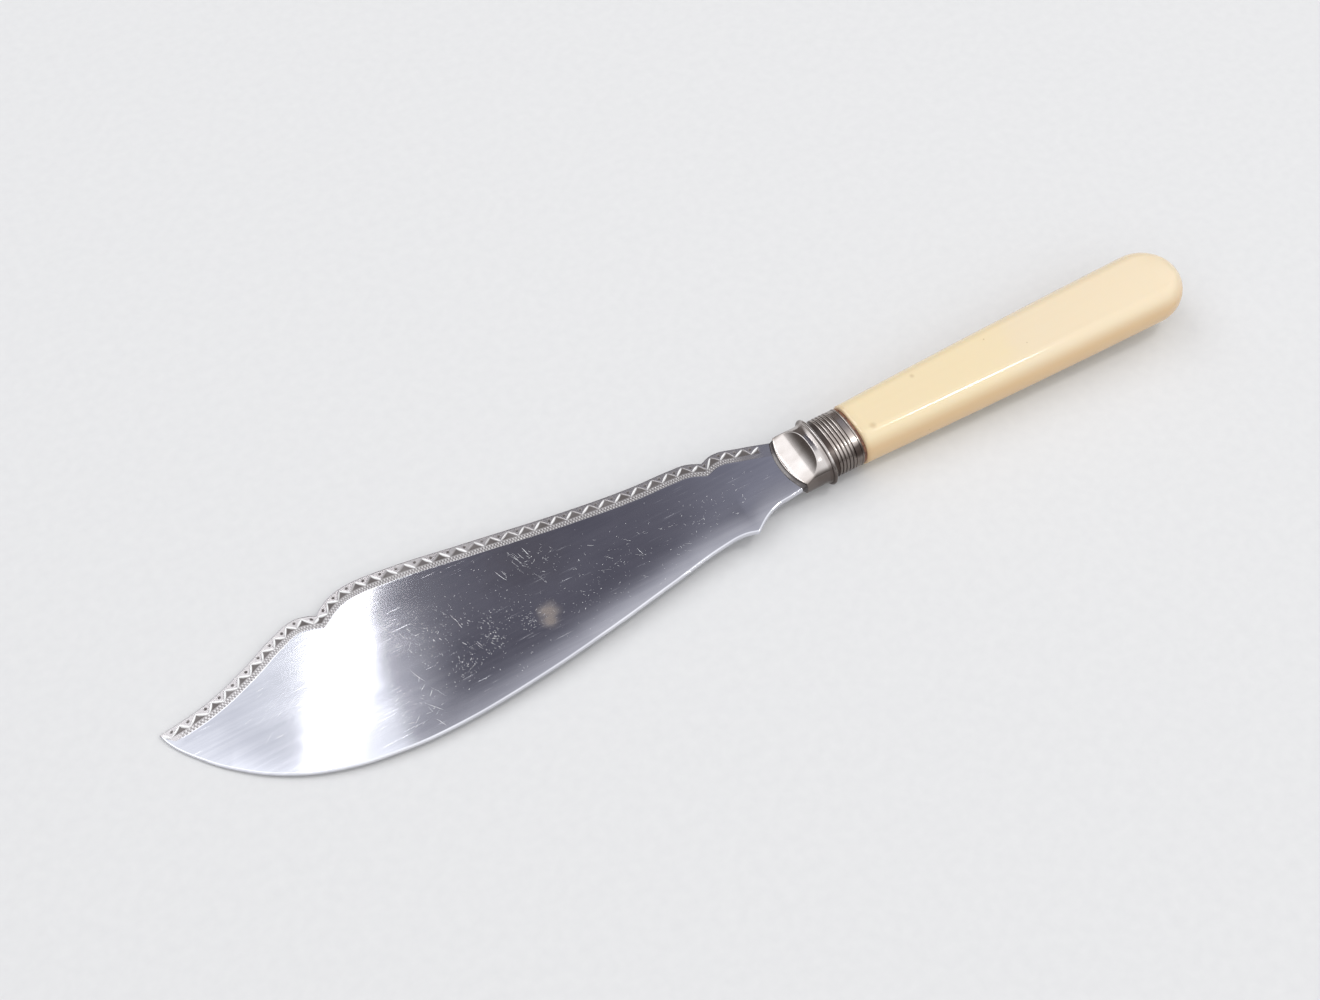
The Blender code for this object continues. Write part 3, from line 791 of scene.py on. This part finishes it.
bead_front = BOLSTER_BACK - BEAD_WIDTH
stations = list(np.linspace(BOLSTER_FRONT + RIM_ROUND, FRONT_END, FRONT_STEPS))
stations += list(np.linspace(FRONT_END, SCOOP_WALL, SCOOP_STEPS)[1:])
stations += list(np.linspace(SCOOP_WALL, bead_front, FLARE_STEPS)[1:])
rings = []
for k, station in enumerate(stations):
    lift = FLARE_RISE * max(0.0, 1 - (bead_front - station) / FLARE_LENGTH) ** 2
    y, z = oval(BOLSTER_HALF_WIDTH + lift, BOLSTER_HALF_DEPTH + lift, BOLSTER_POINTS)
    bend = min(1.0, max(0.0, (FRONT_END - station) / (FRONT_END - BOLSTER_FRONT - RIM_ROUND)))
    x = station + (front_of(y) - BOLSTER_FRONT) * bend
    z = np.sign(z) * scooped(x, np.abs(z))
    if k == 0:
        for turn in RIM_TURNS:
            rise = RIM_ROUND * (1 - math.cos(math.radians(turn)))
            push = RIM_ROUND * math.sin(math.radians(turn))
            depth = np.sign(z) * np.maximum(np.abs(z) - rise, 0)
            rings.append(np.stack([x - push, y * (1 - rise / BOLSTER_HALF_WIDTH), depth], 1))
    rings.append(np.stack([x, y, z], 1))
mouth = rings[0].copy()
mouth[:, 2] *= MOUTH_SHARE
rings.insert(0, mouth)
for k in range(1, BEAD_STEPS + 1):
    turn = math.pi * k / BEAD_STEPS
    rise = FLARE_RISE + (BEAD_RISE - FLARE_RISE) * math.sin(turn)
    y, z = oval(BOLSTER_HALF_WIDTH + rise, BOLSTER_HALF_DEPTH + rise, BOLSTER_POINTS)
    rings.append(ring_at(BEAD_X - BEAD_WIDTH / 2 * math.cos(turn), y, z))
y, z = oval(BOLSTER_HALF_WIDTH * BACK_SHARE, BOLSTER_HALF_DEPTH * BACK_SHARE, BOLSTER_POINTS)
rings.append(ring_at(BOLSTER_BACK, y, z))

# Worn plate, browned in the groove before the bead; the flanks carry a painted dark reflection, nearly black
BOLSTER_DIM = (0.40, 0.36, 0.335, 1)
BOLSTER_CLEAR = (0.62, 0.585, 0.565, 1)
BOLSTER_GROOVE = (0.22, 0.18, 0.16, 1)
BOLSTER_PAINTED_REFLECTION = (0.09, 0.07, 0.062, 1)
GROOVE_START = (bead_front - 0.0012, bead_front - 0.0004)
GROOVE_END = (bead_front + 0.0005, bead_front + 0.0001)
BOLSTER_REFLECTION_AT = (0.0078, 0.0092)
bolster_paint, tree, shader = painted("plated_bolster_worn_painted_reflection")
coords = knife_place(tree)
masks = worn(tree, coords)
scratches = masks["Scratches"]
smudge = masks["Smudge"]
tarnish = masks["Tarnish"]
length_at = axis(tree, coords, "X")
groove = times(tree, ramp(tree, length_at, *GROOVE_START), ramp(tree, length_at, *GROOVE_END))
dark = times(tree, groove, ramp(tree, tarnish, 0.30, 0.60, 0.5, 1.0), clamp=True)
# Painted reflection: the flanks are painted nearly black, broken up by the tarnish noise.
painted_flank_reflection = ramp(tree, reckoned(tree, "ABSOLUTE", axis(tree, coords, "Y")), *BOLSTER_REFLECTION_AT)
painted_flank_reflection = times(tree, painted_flank_reflection, ramp(tree, tarnish, 0.3, 0.7, 0.65, 0.92))
tone = mixed(tree, ramp(tree, smudge, 0.35, 0.65), BOLSTER_DIM, BOLSTER_CLEAR)
tone = mixed(tree, times(tree, dark, 0.6), tone, BOLSTER_GROOVE)
tone = mixed(tree, painted_flank_reflection, tone, BOLSTER_PAINTED_REFLECTION)
rough = plus(tree, ramp(tree, smudge, 0.3, 0.7, 0.08, 0.15), times(tree, scratches, 0.2))
rough = plus(tree, rough, times(tree, dark, 0.2))
relief = reckoned(tree, "SUBTRACT", times(tree, smudge, 0.6), times(tree, scratches, 0.5))
finished(tree, shader, tone, rough, metal=1.0)
bumped(tree, shader, relief, strength=0.25, distance=0.00004)
bolster = made("scooped_bolster", *skinned(rings), bolster_paint, sharp=40)
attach(bolster, "root")
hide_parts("bolster")

# Solder: a dull fillet of silver solder that fills the corner between blade and bolster.
# It is run in hot round the root of the blade and then scraped back to a narrow line.
SOLDER_WIDTH = 0.0010
SOLDER_RISE = 0.0007
SOLDER_FILM = 0.00004
SOLDER_OVERLAP = 0.0003
SOLDER_SIDE = 0.0002
SOLDER_SIDE_RISE = 0.0004
SOLDER_POINTS = 60
SOLDER_STEPS = 8
SOLDER_CORNER = 0.6
SOLDER_DARK = (0.09, 0.08, 0.08, 1)
SOLDER_PALE = (0.26, 0.245, 0.24, 1)
half_root = ROOT_THICK / 2
side_run = np.linspace(-1, 1, SOLDER_POINTS)
corners = [0, SOLDER_POINTS - 1, SOLDER_POINTS, 2 * SOLDER_POINTS - 1]
rings = []
for k in range(SOLDER_STEPS + 1):
    share = k / SOLDER_STEPS
    grow = SOLDER_RISE * (1 - share) ** 2 + SOLDER_FILM
    wide = ROOT_HALF + SOLDER_SIDE + min(grow, SOLDER_SIDE_RISE)
    y = np.concatenate([side_run * wide, side_run[::-1] * wide])
    z = np.repeat([half_root + grow, -half_root - grow], SOLDER_POINTS)
    z[corners] *= SOLDER_CORNER
    x = front_of(y) + SOLDER_OVERLAP - (SOLDER_WIDTH + SOLDER_OVERLAP) * share
    rings.append(np.stack([x, y, z], 1))
solder_paint, tree, shader = painted("solder_fillet")
tarnish = worn(tree, knife_place(tree))["Tarnish"]
tone = mixed(tree, ramp(tree, tarnish, 0.35, 0.65), SOLDER_DARK, SOLDER_PALE)
finished(tree, shader, tone, ramp(tree, tarnish, 0.3, 0.7, 0.28, 0.45), metal=1.0)
bumped(tree, shader, tarnish, strength=0.4, distance=0.00008)
solder = made("solder_fillet", *skinned(rings), solder_paint, sharp=60)
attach(solder, "root")
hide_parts("blade_solder")

# Tang: an eight-sided taper of forged steel, brazed into the back of the bolster.
# It lies hidden in the bore of the handle, so it keeps its plain form and gets a scaly finish.
SCALE_DARK = (0.10, 0.09, 0.085, 1)
STEEL_TONE = (0.34, 0.32, 0.30, 1)
tang_paint, tree, shader = painted("tang_forged_steel")
scale = noise(tree, object_place(tree), 260.0, detail=6.0)
tone = mixed(tree, ramp(tree, scale, 0.4, 0.6), SCALE_DARK, STEEL_TONE)
finished(tree, shader, tone, ramp(tree, scale, 0.35, 0.65, 0.65, 0.35), metal=1.0)
bumped(tree, shader, scale, strength=0.5, distance=0.0001)
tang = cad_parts["tang"]
tang.data.materials.clear()
tang.data.materials.append(tang_paint)

# Ferrule: silver sleeve drawn over the front of the handle, rolled with a plain cove and five reeds.
# A plain band follows, closed by a fine rim. Tarnish has settled in the grooves.
FERRULE_FRONT = -0.0103
FERRULE_BACK = -0.0008
FERRULE_HALF_WIDTH = 0.00895
FERRULE_HALF_DEPTH = 0.00635
FERRULE_WALL = 0.0005
COVE_LIP = 0.0004
REEDS = 5
REED_PITCH = 0.00115
REED_SHARE = 0.86
REED_RISE = 0.00032
BAND = 0.0026
BAND_RISE = 0.7 * REED_RISE
BAND_START = 0.0001
BAND_END = 0.0008
RIM = 0.0007
GROOVE_BELOW = 0.75 * REED_RISE


def reed(middle, width, rise, steps=10):
    """Profile of one half round reed: places along the knife and heights."""
    turns = [math.pi * i / steps for i in range(steps + 1)]
    return [(middle - width / 2 * math.cos(turn), rise * math.sin(turn)) for turn in turns]


profile = [(FERRULE_FRONT, 0.0), (FERRULE_FRONT + COVE_LIP, 0.0)]
reed_start = FERRULE_BACK - BAND - REEDS * REED_PITCH
for k in range(REEDS):
    profile += reed(reed_start + (k + 0.5) * REED_PITCH, REED_PITCH * REED_SHARE, REED_RISE)
profile += [(FERRULE_BACK - BAND + BAND_START, BAND_RISE), (FERRULE_BACK - BAND_END, BAND_RISE)]
profile += reed(FERRULE_BACK - RIM / 2, RIM, REED_RISE)
profile += [(FERRULE_BACK, -FERRULE_WALL), (FERRULE_FRONT, -FERRULE_WALL)]
rings = []
lows = []
for x, rise in profile:
    y, z = oval(FERRULE_HALF_WIDTH + rise, FERRULE_HALF_DEPTH + rise)
    rings.append(ring_at(x, y, z))
    lows += [float(np.clip(1 - rise / GROOVE_BELOW, 0, 1))] * len(y)

# Tarnished silver: black in grooves, a dark patch on the near side, brown bloom between; the flanks carry a
# painted dark reflection
FERRULE_DIM = (0.27, 0.23, 0.21, 1)
FERRULE_CLEAR = (0.60, 0.545, 0.505, 1)
FERRULE_BLOOM = (0.30, 0.245, 0.22, 1)
FERRULE_GROOVE = (0.06, 0.045, 0.04, 1)
FERRULE_PAINTED_REFLECTION = (0.08, 0.06, 0.052, 1)
FERRULE_REFLECTION_AT = (0.0058, 0.0084)
DARK_PATCH = ((-0.0024, -0.0076, 0.0038), 0.0019, 0.0008)
ferrule_paint, tree, shader = painted("silver_ferrule_tarnished_painted_reflection")
coords = knife_place(tree)
masks = worn(tree, coords)
scratches = masks["Scratches"]
smudge = masks["Smudge"]
tarnish = masks["Tarnish"]
dark = ramp(tree, attribute(tree, "groove"), 0.05, 0.55)
dark = times(tree, dark, ramp(tree, tarnish, 0.30, 0.55, 0.75, 1.0), clamp=True)
dark = reckoned(tree, "MAXIMUM", dark, spot(tree, coords, *DARK_PATCH))
# Painted reflection: the flanks are painted nearly black, broken up by the tarnish noise.
painted_flank_reflection = ramp(tree, reckoned(tree, "ABSOLUTE", axis(tree, coords, "Y")), *FERRULE_REFLECTION_AT)
painted_flank_reflection = times(tree, painted_flank_reflection, ramp(tree, tarnish, 0.3, 0.7, 0.62, 0.96))
tone = mixed(tree, ramp(tree, smudge, 0.35, 0.65), FERRULE_DIM, FERRULE_CLEAR)
tone = mixed(tree, times(tree, ramp(tree, tarnish, 0.46, 0.62), 0.45), tone, FERRULE_BLOOM)
tone = mixed(tree, times(tree, dark, 0.94), tone, FERRULE_GROOVE)
tone = mixed(tree, painted_flank_reflection, tone, FERRULE_PAINTED_REFLECTION)
rough = plus(tree, ramp(tree, tarnish, 0.3, 0.7, 0.14, 0.30), times(tree, dark, 0.25))
finished(tree, shader, tone, rough, metal=1.0)
bumped(tree, shader, plus(tree, tarnish, scratches), strength=0.3, distance=0.00004)
ferrule = made("reeded_ferrule", *skinned(rings, looped=True), ferrule_paint, sharp=40)
layer = ferrule.data.attributes.new("groove", "FLOAT", "POINT")
layer.data.foreach_set("value", np.array(lows, dtype=np.float32))
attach(ferrule, "root")
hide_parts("ferrule")

# Resin bed: brown cutler's cement that holds the ferrule on the front of the handle.
# It is pressed out as the ferrule is driven home, and a thin uneven line of it shows at the handle.
BED_PROFILE = [
    (-0.0097, 0.0006),
    (-0.0012, 0.0006),
    (-0.0011, 0.0001),
    (-0.0009, -0.00005),
    (-0.0004, -0.0001),
    (-0.00005, 0.0),
    (-0.00005, 0.0011),
    (-0.0097, 0.0011),
]
BED_POINTS = 144
LUMP_LOW = -0.00008
LUMP_HIGH = 0.00006
HIDDEN_INSET = 0.0005
RESIN_DARK = (0.075, 0.03, 0.02, 1)
RESIN_BROWN = (0.24, 0.11, 0.065, 1)
rng = random.Random(5)
lumps = np.array([rng.uniform(LUMP_LOW, LUMP_HIGH) for k in range(BED_POINTS)])
uneven = (np.roll(lumps, 1) + lumps + np.roll(lumps, -1)) / 3
round_y, round_z = oval(1.0, 1.0, BED_POINTS)
rings = []
for x, inset in BED_PROFILE:
    grow = uneven if inset < HIDDEN_INSET else uneven * 0
    y = round_y * (FERRULE_HALF_WIDTH - inset + grow)
    z = round_z * (FERRULE_HALF_DEPTH - inset + grow)
    rings.append(ring_at(x, y, z))
resin_paint, tree, shader = painted("brown_resin_line")
grain = noise(tree, knife_place(tree), 900.0, detail=5.0)
tone = mixed(tree, ramp(tree, grain, 0.35, 0.65), RESIN_DARK, RESIN_BROWN)
finished(tree, shader, tone, ramp(tree, grain, 0.3, 0.7, 0.45, 0.7), metal=0.0)
bumped(tree, shader, grain, strength=0.5, distance=0.00008)
bed = made("resin_bed", *skinned(rings, looped=True), resin_paint, sharp=60)
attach(bed, "root")
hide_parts("ferrule_cement")

# Tang resin: the same brown cement, run hot into the bore of the handle round the tang.
# It sets hard and holds blade and handle together. It is hidden, so the plain form stays.
PLUG_DARK = (0.09, 0.04, 0.02, 1)
PLUG_BROWN = (0.30, 0.17, 0.09, 1)
plug_paint, tree, shader = painted("tang_resin_set")
grain = noise(tree, object_place(tree), 500.0, detail=5.0)
tone = mixed(tree, grain, PLUG_DARK, PLUG_BROWN)
finished(tree, shader, tone, ramp(tree, grain, 0.3, 0.7, 0.5, 0.75), metal=0.0)
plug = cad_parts["tang_cement"]
plug.data.materials.clear()
plug.data.materials.append(plug_paint)

# Handle: cream imitation bone, moulded and polished, flat on both faces with round sides and a round butt.
# It is turned down at the front to enter the ferrule and bored for the tang.
# The colour turns paler from the front half to the butt half, and a little grime lies along the seam.
HANDLE_LENGTH = 0.1162
HANDLE_FRONT_WIDTH = 0.0187
HANDLE_BUTT_WIDTH = 0.0240
HANDLE_SWELL = 0.0009
HANDLE_FRONT_DEPTH = 0.0136
HANDLE_BUTT_DEPTH = 0.0130
SIDE_ROUND = 0.0052
BUTT_LENGTH = 0.0125
BUTT_START = HANDLE_LENGTH - BUTT_LENGTH
BUTT_STEPS = 60
BUTT_CLOSE = 0.0001
SHOULDER = 0.0003
SHOULDER_ROUND = ((0.0, 0.0006), (0.00008, 0.00022), (0.00020, 0.00008))
FRONT_CAP = 0.7
GRIP_STEPS = 40
RIM_LEAD = 0.02
SIDE_RIM_POINTS = 300
BUTT_RIM_POINTS = 400
FULL_SIDE = 0.9999


def plan(x):
    """Half width and half depth of the handle at a station, before its sides are rounded."""
    share = x / HANDLE_LENGTH
    flare = (HANDLE_BUTT_WIDTH - HANDLE_FRONT_WIDTH) * share
    half_width = (HANDLE_FRONT_WIDTH + flare + HANDLE_SWELL * 4 * share * (1 - share)) / 2
    into = np.clip((x - HANDLE_LENGTH + BUTT_LENGTH) / BUTT_LENGTH, 0, 1)
    half_depth = (HANDLE_FRONT_DEPTH + (HANDLE_BUTT_DEPTH - HANDLE_FRONT_DEPTH) * share) / 2
    return half_width * np.sqrt(1 - into ** 2), half_depth


side_rim = np.linspace(-RIM_LEAD, BUTT_START, SIDE_RIM_POINTS)
butt_rim = BUTT_START + BUTT_LENGTH * np.sin(np.linspace(0, math.pi / 2, BUTT_RIM_POINTS))
rim_x = np.concatenate([side_rim, butt_rim])
rim_y = plan(rim_x)[0]


def grip(x, count=192):
    """Section of the handle: flat above and below, with one rounding along both sides and about the butt."""
    half_width, half_depth = (float(v) for v in plan(x))
    turn = (np.arange(count) + 0.5) * 2 * math.pi / count
    cosine = np.cos(turn) / math.cos(math.pi / count)
    flat = max(half_width - SIDE_ROUND, 0.0)
    y = np.sign(cosine) * (flat + (half_width - flat) * np.abs(cosine))
    away = np.hypot(x - rim_x[None, :], np.abs(y)[:, None] - rim_y[None, :]).min(axis=1)
    away = np.where(np.abs(cosine) > FULL_SIDE, 0, np.minimum(away, half_width - np.abs(y)))
    return y, half_depth * np.sign(np.sin(turn)) * np.sqrt(1 - (1 - np.clip(away / SIDE_ROUND, 0, 1)) ** 2)


front_y, front_z = grip(0.0)
rings = [ring_at(0.0, front_y * FRONT_CAP, front_z * FRONT_CAP)]
for x, inset in SHOULDER_ROUND:
    shrink = 1 - inset / np.hypot(front_y, front_z)
    rings.append(ring_at(x, front_y * shrink, front_z * shrink))
stations = list(np.linspace(SHOULDER, BUTT_START, GRIP_STEPS))
stations += [BUTT_START + BUTT_LENGTH * math.sin(math.pi / 2 * i / BUTT_STEPS) for i in range(1, BUTT_STEPS)]
stations.append(HANDLE_LENGTH - BUTT_CLOSE)
for x in sorted(stations):
    rings.append(ring_at(x, *grip(x)))

# Cream moulding: clouds and faint grain, painted shade on the round sides, two brown specks, pin dust and
# grime at the seam
CREAM_FRONT = (0.84, 0.70, 0.458, 1)
CREAM_BUTT = (0.825, 0.69, 0.485, 1)
CREAM_GRAIN = (0.78, 0.60, 0.36, 1)
CREAM_CLOUD = (0.85, 0.73, 0.53, 1)
CREAM_SIDE_SHADE = (0.72, 0.50, 0.275, 1)
SPECK_TONE = (0.42, 0.26, 0.11, 1)
DUST_TONE = (0.45, 0.30, 0.14, 1)
GRIME_TONE = (0.48, 0.28, 0.14, 1)
PALER_AT = (0.075, 0.095)
SIDE_SHADE_AT = (0.0060, 0.0020)
GRIME_AT = (0.0022, 0.0005)
SPECKS = (((0.0045, -0.0043, 0.0066), 0.0009), ((0.0237, 0.0045, 0.0067), 0.0006))
handle_paint, tree, shader = painted("cream_handle_worn_painted_shade")
coords = knife_place(tree)
length_at = axis(tree, coords, "X")
cloud = noise(tree, coords, 26.0, stretch=(1, 2.2, 2.2), detail=4.0)
grain = noise(tree, coords, 1.0, stretch=(14, 700, 700), detail=2.0)
paler = ramp(tree, plus(tree, length_at, times(tree, cloud, 0.05)), *PALER_AT)
# Painted shade: the round sides about mid-height are painted darker and warmer than the flat faces.
side = ramp(tree, reckoned(tree, "ABSOLUTE", axis(tree, coords, "Z")), *SIDE_SHADE_AT, 0.0, 0.92)
tone = mixed(tree, paler, CREAM_FRONT, CREAM_BUTT)
tone = mixed(tree, ramp(tree, grain, 0.45, 0.75, 0.0, 0.06), tone, CREAM_GRAIN)
tone = mixed(tree, ramp(tree, cloud, 0.50, 0.75, 0.0, 0.16), tone, CREAM_CLOUD)
tone = mixed(tree, side, tone, CREAM_SIDE_SHADE)
for centre, radius in SPECKS:
    speck = spot(tree, coords, centre, radius, radius * 0.8)
    tone = mixed(tree, times(tree, speck, 0.32), tone, SPECK_TONE)
cells = add(tree, "TexVoronoi", {"Vector": coords, "Scale": 210.0}).outputs["Distance"]
rare = ramp(tree, noise(tree, coords, 150.0, detail=1.0, offset=2.0), 0.58, 0.68)
dust = times(tree, ramp(tree, cells, 0.075, 0.03), rare)
tone = mixed(tree, times(tree, dust, 0.5), tone, DUST_TONE)
grime = ramp(tree, plus(tree, length_at, times(tree, grain, 0.0012)), *GRIME_AT)
tone = mixed(tree, times(tree, grime, 0.35), tone, GRIME_TONE)
scuff = noise(tree, coords, 1.0, stretch=(40, 900, 900), turn=0.2, detail=2.0, offset=4.0)
finished(tree, shader, tone, ramp(tree, scuff, 0.4, 0.7, 0.06, 0.11), metal=0.0)
relief = plus(tree, times(tree, scuff, 0.3), times(tree, cloud, 0.7))
bumped(tree, shader, relief, strength=0.06, distance=0.0001)
shader.inputs["Subsurface Weight"].default_value = 0.12
shader.inputs["Subsurface Radius"].default_value = (0.004, 0.0025, 0.0012)
shader.inputs["Subsurface Scale"].default_value = 0.6
shader.inputs["IOR"].default_value = 1.5
handle = made("cream_handle", *skinned(rings), handle_paint, sharp=75)
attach(handle, "root")
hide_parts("handle")

# Studio: a pale matt table of plain board, lit by three lamp panels in a soft room.
# The room is dark where the polished blade mirrors it. The camera looks down on the knife from the tip side.
TABLE_DIM = (0.70, 0.70, 0.70, 1)
TABLE_CLEAR = (0.76, 0.76, 0.755, 1)
TABLE_SIZE = 40.0
TABLE_GAP = 0.0001
table_paint, tree, shader = painted("pale_table")
paper = noise(tree, object_place(tree), 320.0, detail=4.0)
tree.links.new(mixed(tree, paper, TABLE_DIM, TABLE_CLEAR), shader.inputs["Base Color"])
shader.inputs["Roughness"].default_value = 0.85
shader.inputs["Specular IOR Level"].default_value = 0.2
bpy.ops.mesh.primitive_plane_add(size=TABLE_SIZE, location=(0, 0, -TABLE_GAP))
table = bpy.context.object
table.name = "table"
table.data.materials.append(table_paint)


def lamp_panel(name, place, aim, width, length, power, colour, along=(0, 0, 1)):
    """Lamp panel that faces a point; its long side runs along the given direction."""
    lamp = bpy.data.lights.new(name, "AREA")
    lamp.shape = "RECTANGLE"
    lamp.size = width
    lamp.size_y = length
    lamp.energy = power
    lamp.color = colour
    panel = bpy.data.objects.new(name, lamp)
    bpy.context.scene.collection.objects.link(panel)
    back_way = (Vector(place) - Vector(aim)).normalized()
    side_way = Vector(along).cross(back_way).normalized()
    turned = Matrix((side_way, back_way.cross(side_way), back_way)).transposed().to_4x4()
    panel.matrix_world = Matrix.Translation(place) @ turned


# The strip gives the white band on the blade, the side panel the pale tip, the top panel the handle's glint
STRIP_SIZE = (0.030, 0.50)
STRIP_POWER = 0.36
STRIP_COLOUR = (1.0, 0.99, 0.98)
STRIP_ALONG = (0.482, 0.749, -0.456)
SIDE_SIZE = (0.95, 0.80)
SIDE_POWER = 1.90
SIDE_COLOUR = (0.93, 0.96, 1.0)
SIDE_ALONG = (0.10, 0.86, -0.50)
TOP_SIZE = (0.22, 0.10)
TOP_POWER = 1.9
TOP_COLOUR = (1.0, 0.99, 0.97)
TOP_DISTANCE = 1.2
band_at = rest @ Vector((-0.1575, 0.002, 0.0))
strip_at = Vector((-0.0750, 0.6595, 1.1235))
side_at = band_at + Vector((-0.370, 0.7405, 1.167))
glint_at = rest @ Vector((0.038, -0.009, 0.006))
top_at = glint_at + TOP_DISTANCE * Vector((0.37, -0.17, 0.91))
lamp_panel("strip_light", strip_at, band_at, *STRIP_SIZE, STRIP_POWER, STRIP_COLOUR, STRIP_ALONG)
lamp_panel("side_light", side_at, band_at, *SIDE_SIZE, SIDE_POWER, SIDE_COLOUR, SIDE_ALONG)
lamp_panel("top_light", top_at, glint_at, *TOP_SIZE, TOP_POWER, TOP_COLOUR)

# Room by direction: pale above, with a dark flag beyond the tip and a dark backdrop beyond the back.
# The blade mirrors a dark cone, which has a haze beside the white band and turns paler to root and edge
SKY_LOW = (0.40, 0.39, 0.385, 1)
SKY_HIGH = (1.20, 1.21, 1.24, 1)
FLAG_WAY = (-0.88, 0.46, 0.12)
FLAG_TONE = (0.13, 0.115, 0.11, 1)
BACKDROP_WAY = (0.35, 0.85, 0.40)
BACKDROP_TONE = (0.20, 0.18, 0.175, 1)
CONE_WAY = (0.19, 0.49, 0.85)
CONE_TONE = (0.121, 0.118, 0.147, 1)
CONE_ROOT = (0.285, 0.288, 0.345, 1)
CONE_HAZE = (0.56, 0.56, 0.61, 1)
CONE_LOWER = (0.28, 0.28, 0.32, 1)
CONE_EDGE = (0.60, 0.60, 0.645, 1)
world = bpy.data.worlds.new("soft_room")
bpy.context.scene.world = world
world.use_nodes = True
tree = world.node_tree
facing = add(tree, "TexCoord").outputs["Generated"]


def towards(way, low_at, high_at):
    """Mask of the room about a direction."""
    near = add(tree, "VectorMath", {0: facing, 1: way}, operation="DOT_PRODUCT").outputs["Value"]
    return ramp(tree, near, low_at, high_at)


facing_x = axis(tree, facing, "X")
facing_y = axis(tree, facing, "Y")
haze = times(tree, ramp(tree, facing_x, 0.088, 0.052), ramp(tree, facing_x, 0.028, 0.050))
cone = mixed(tree, ramp(tree, facing_x, 0.212, 0.296), CONE_TONE, CONE_ROOT)
cone = mixed(tree, haze, cone, CONE_HAZE)
cone = mixed(tree, ramp(tree, facing_y, 0.474, 0.408), cone, CONE_LOWER)
cone = mixed(tree, ramp(tree, facing_y, 0.445, 0.345), cone, CONE_EDGE)
sky = mixed(tree, ramp(tree, axis(tree, facing, "Z"), 0.02, 0.70), SKY_LOW, SKY_HIGH)
sky = mixed(tree, towards(FLAG_WAY, 0.80, 0.99), sky, FLAG_TONE)
sky = mixed(tree, towards(BACKDROP_WAY, 0.80, 0.95), sky, BACKDROP_TONE)
sky = mixed(tree, towards(CONE_WAY, 0.945, 0.975), sky, cone)
background = tree.nodes["Background"]
tree.links.new(sky, background.inputs["Color"])
background.inputs["Strength"].default_value = 1.0

# Camera, placed from the seam at the front of the handle
CAMERA_OFFSET = (-0.2042, -0.2457, 0.4163)
lens = bpy.data.cameras.new("camera")
lens.lens = 50.0
lens.sensor_width = 36.0
lens.sensor_fit = "HORIZONTAL"
lens.clip_start = 0.01
camera = bpy.data.objects.new("camera", lens)
bpy.context.scene.collection.objects.link(camera)
seam = rest @ Vector((0, 0, 0))
right = Vector((0.8660, -0.5001, 0.0)).normalized()
forward = Vector((0.2875, 0.4978, -0.8183)).normalized()
up = right.cross(forward)
camera.matrix_world = Matrix((
    (right.x, up.x, -forward.x, seam.x + CAMERA_OFFSET[0]),
    (right.y, up.y, -forward.y, seam.y + CAMERA_OFFSET[1]),
    (right.z, up.z, -forward.z, seam.z + CAMERA_OFFSET[2]),
    (0, 0, 0, 1),
))
bpy.context.scene.camera = camera
bpy.context.scene.view_settings.view_transform = "Standard"
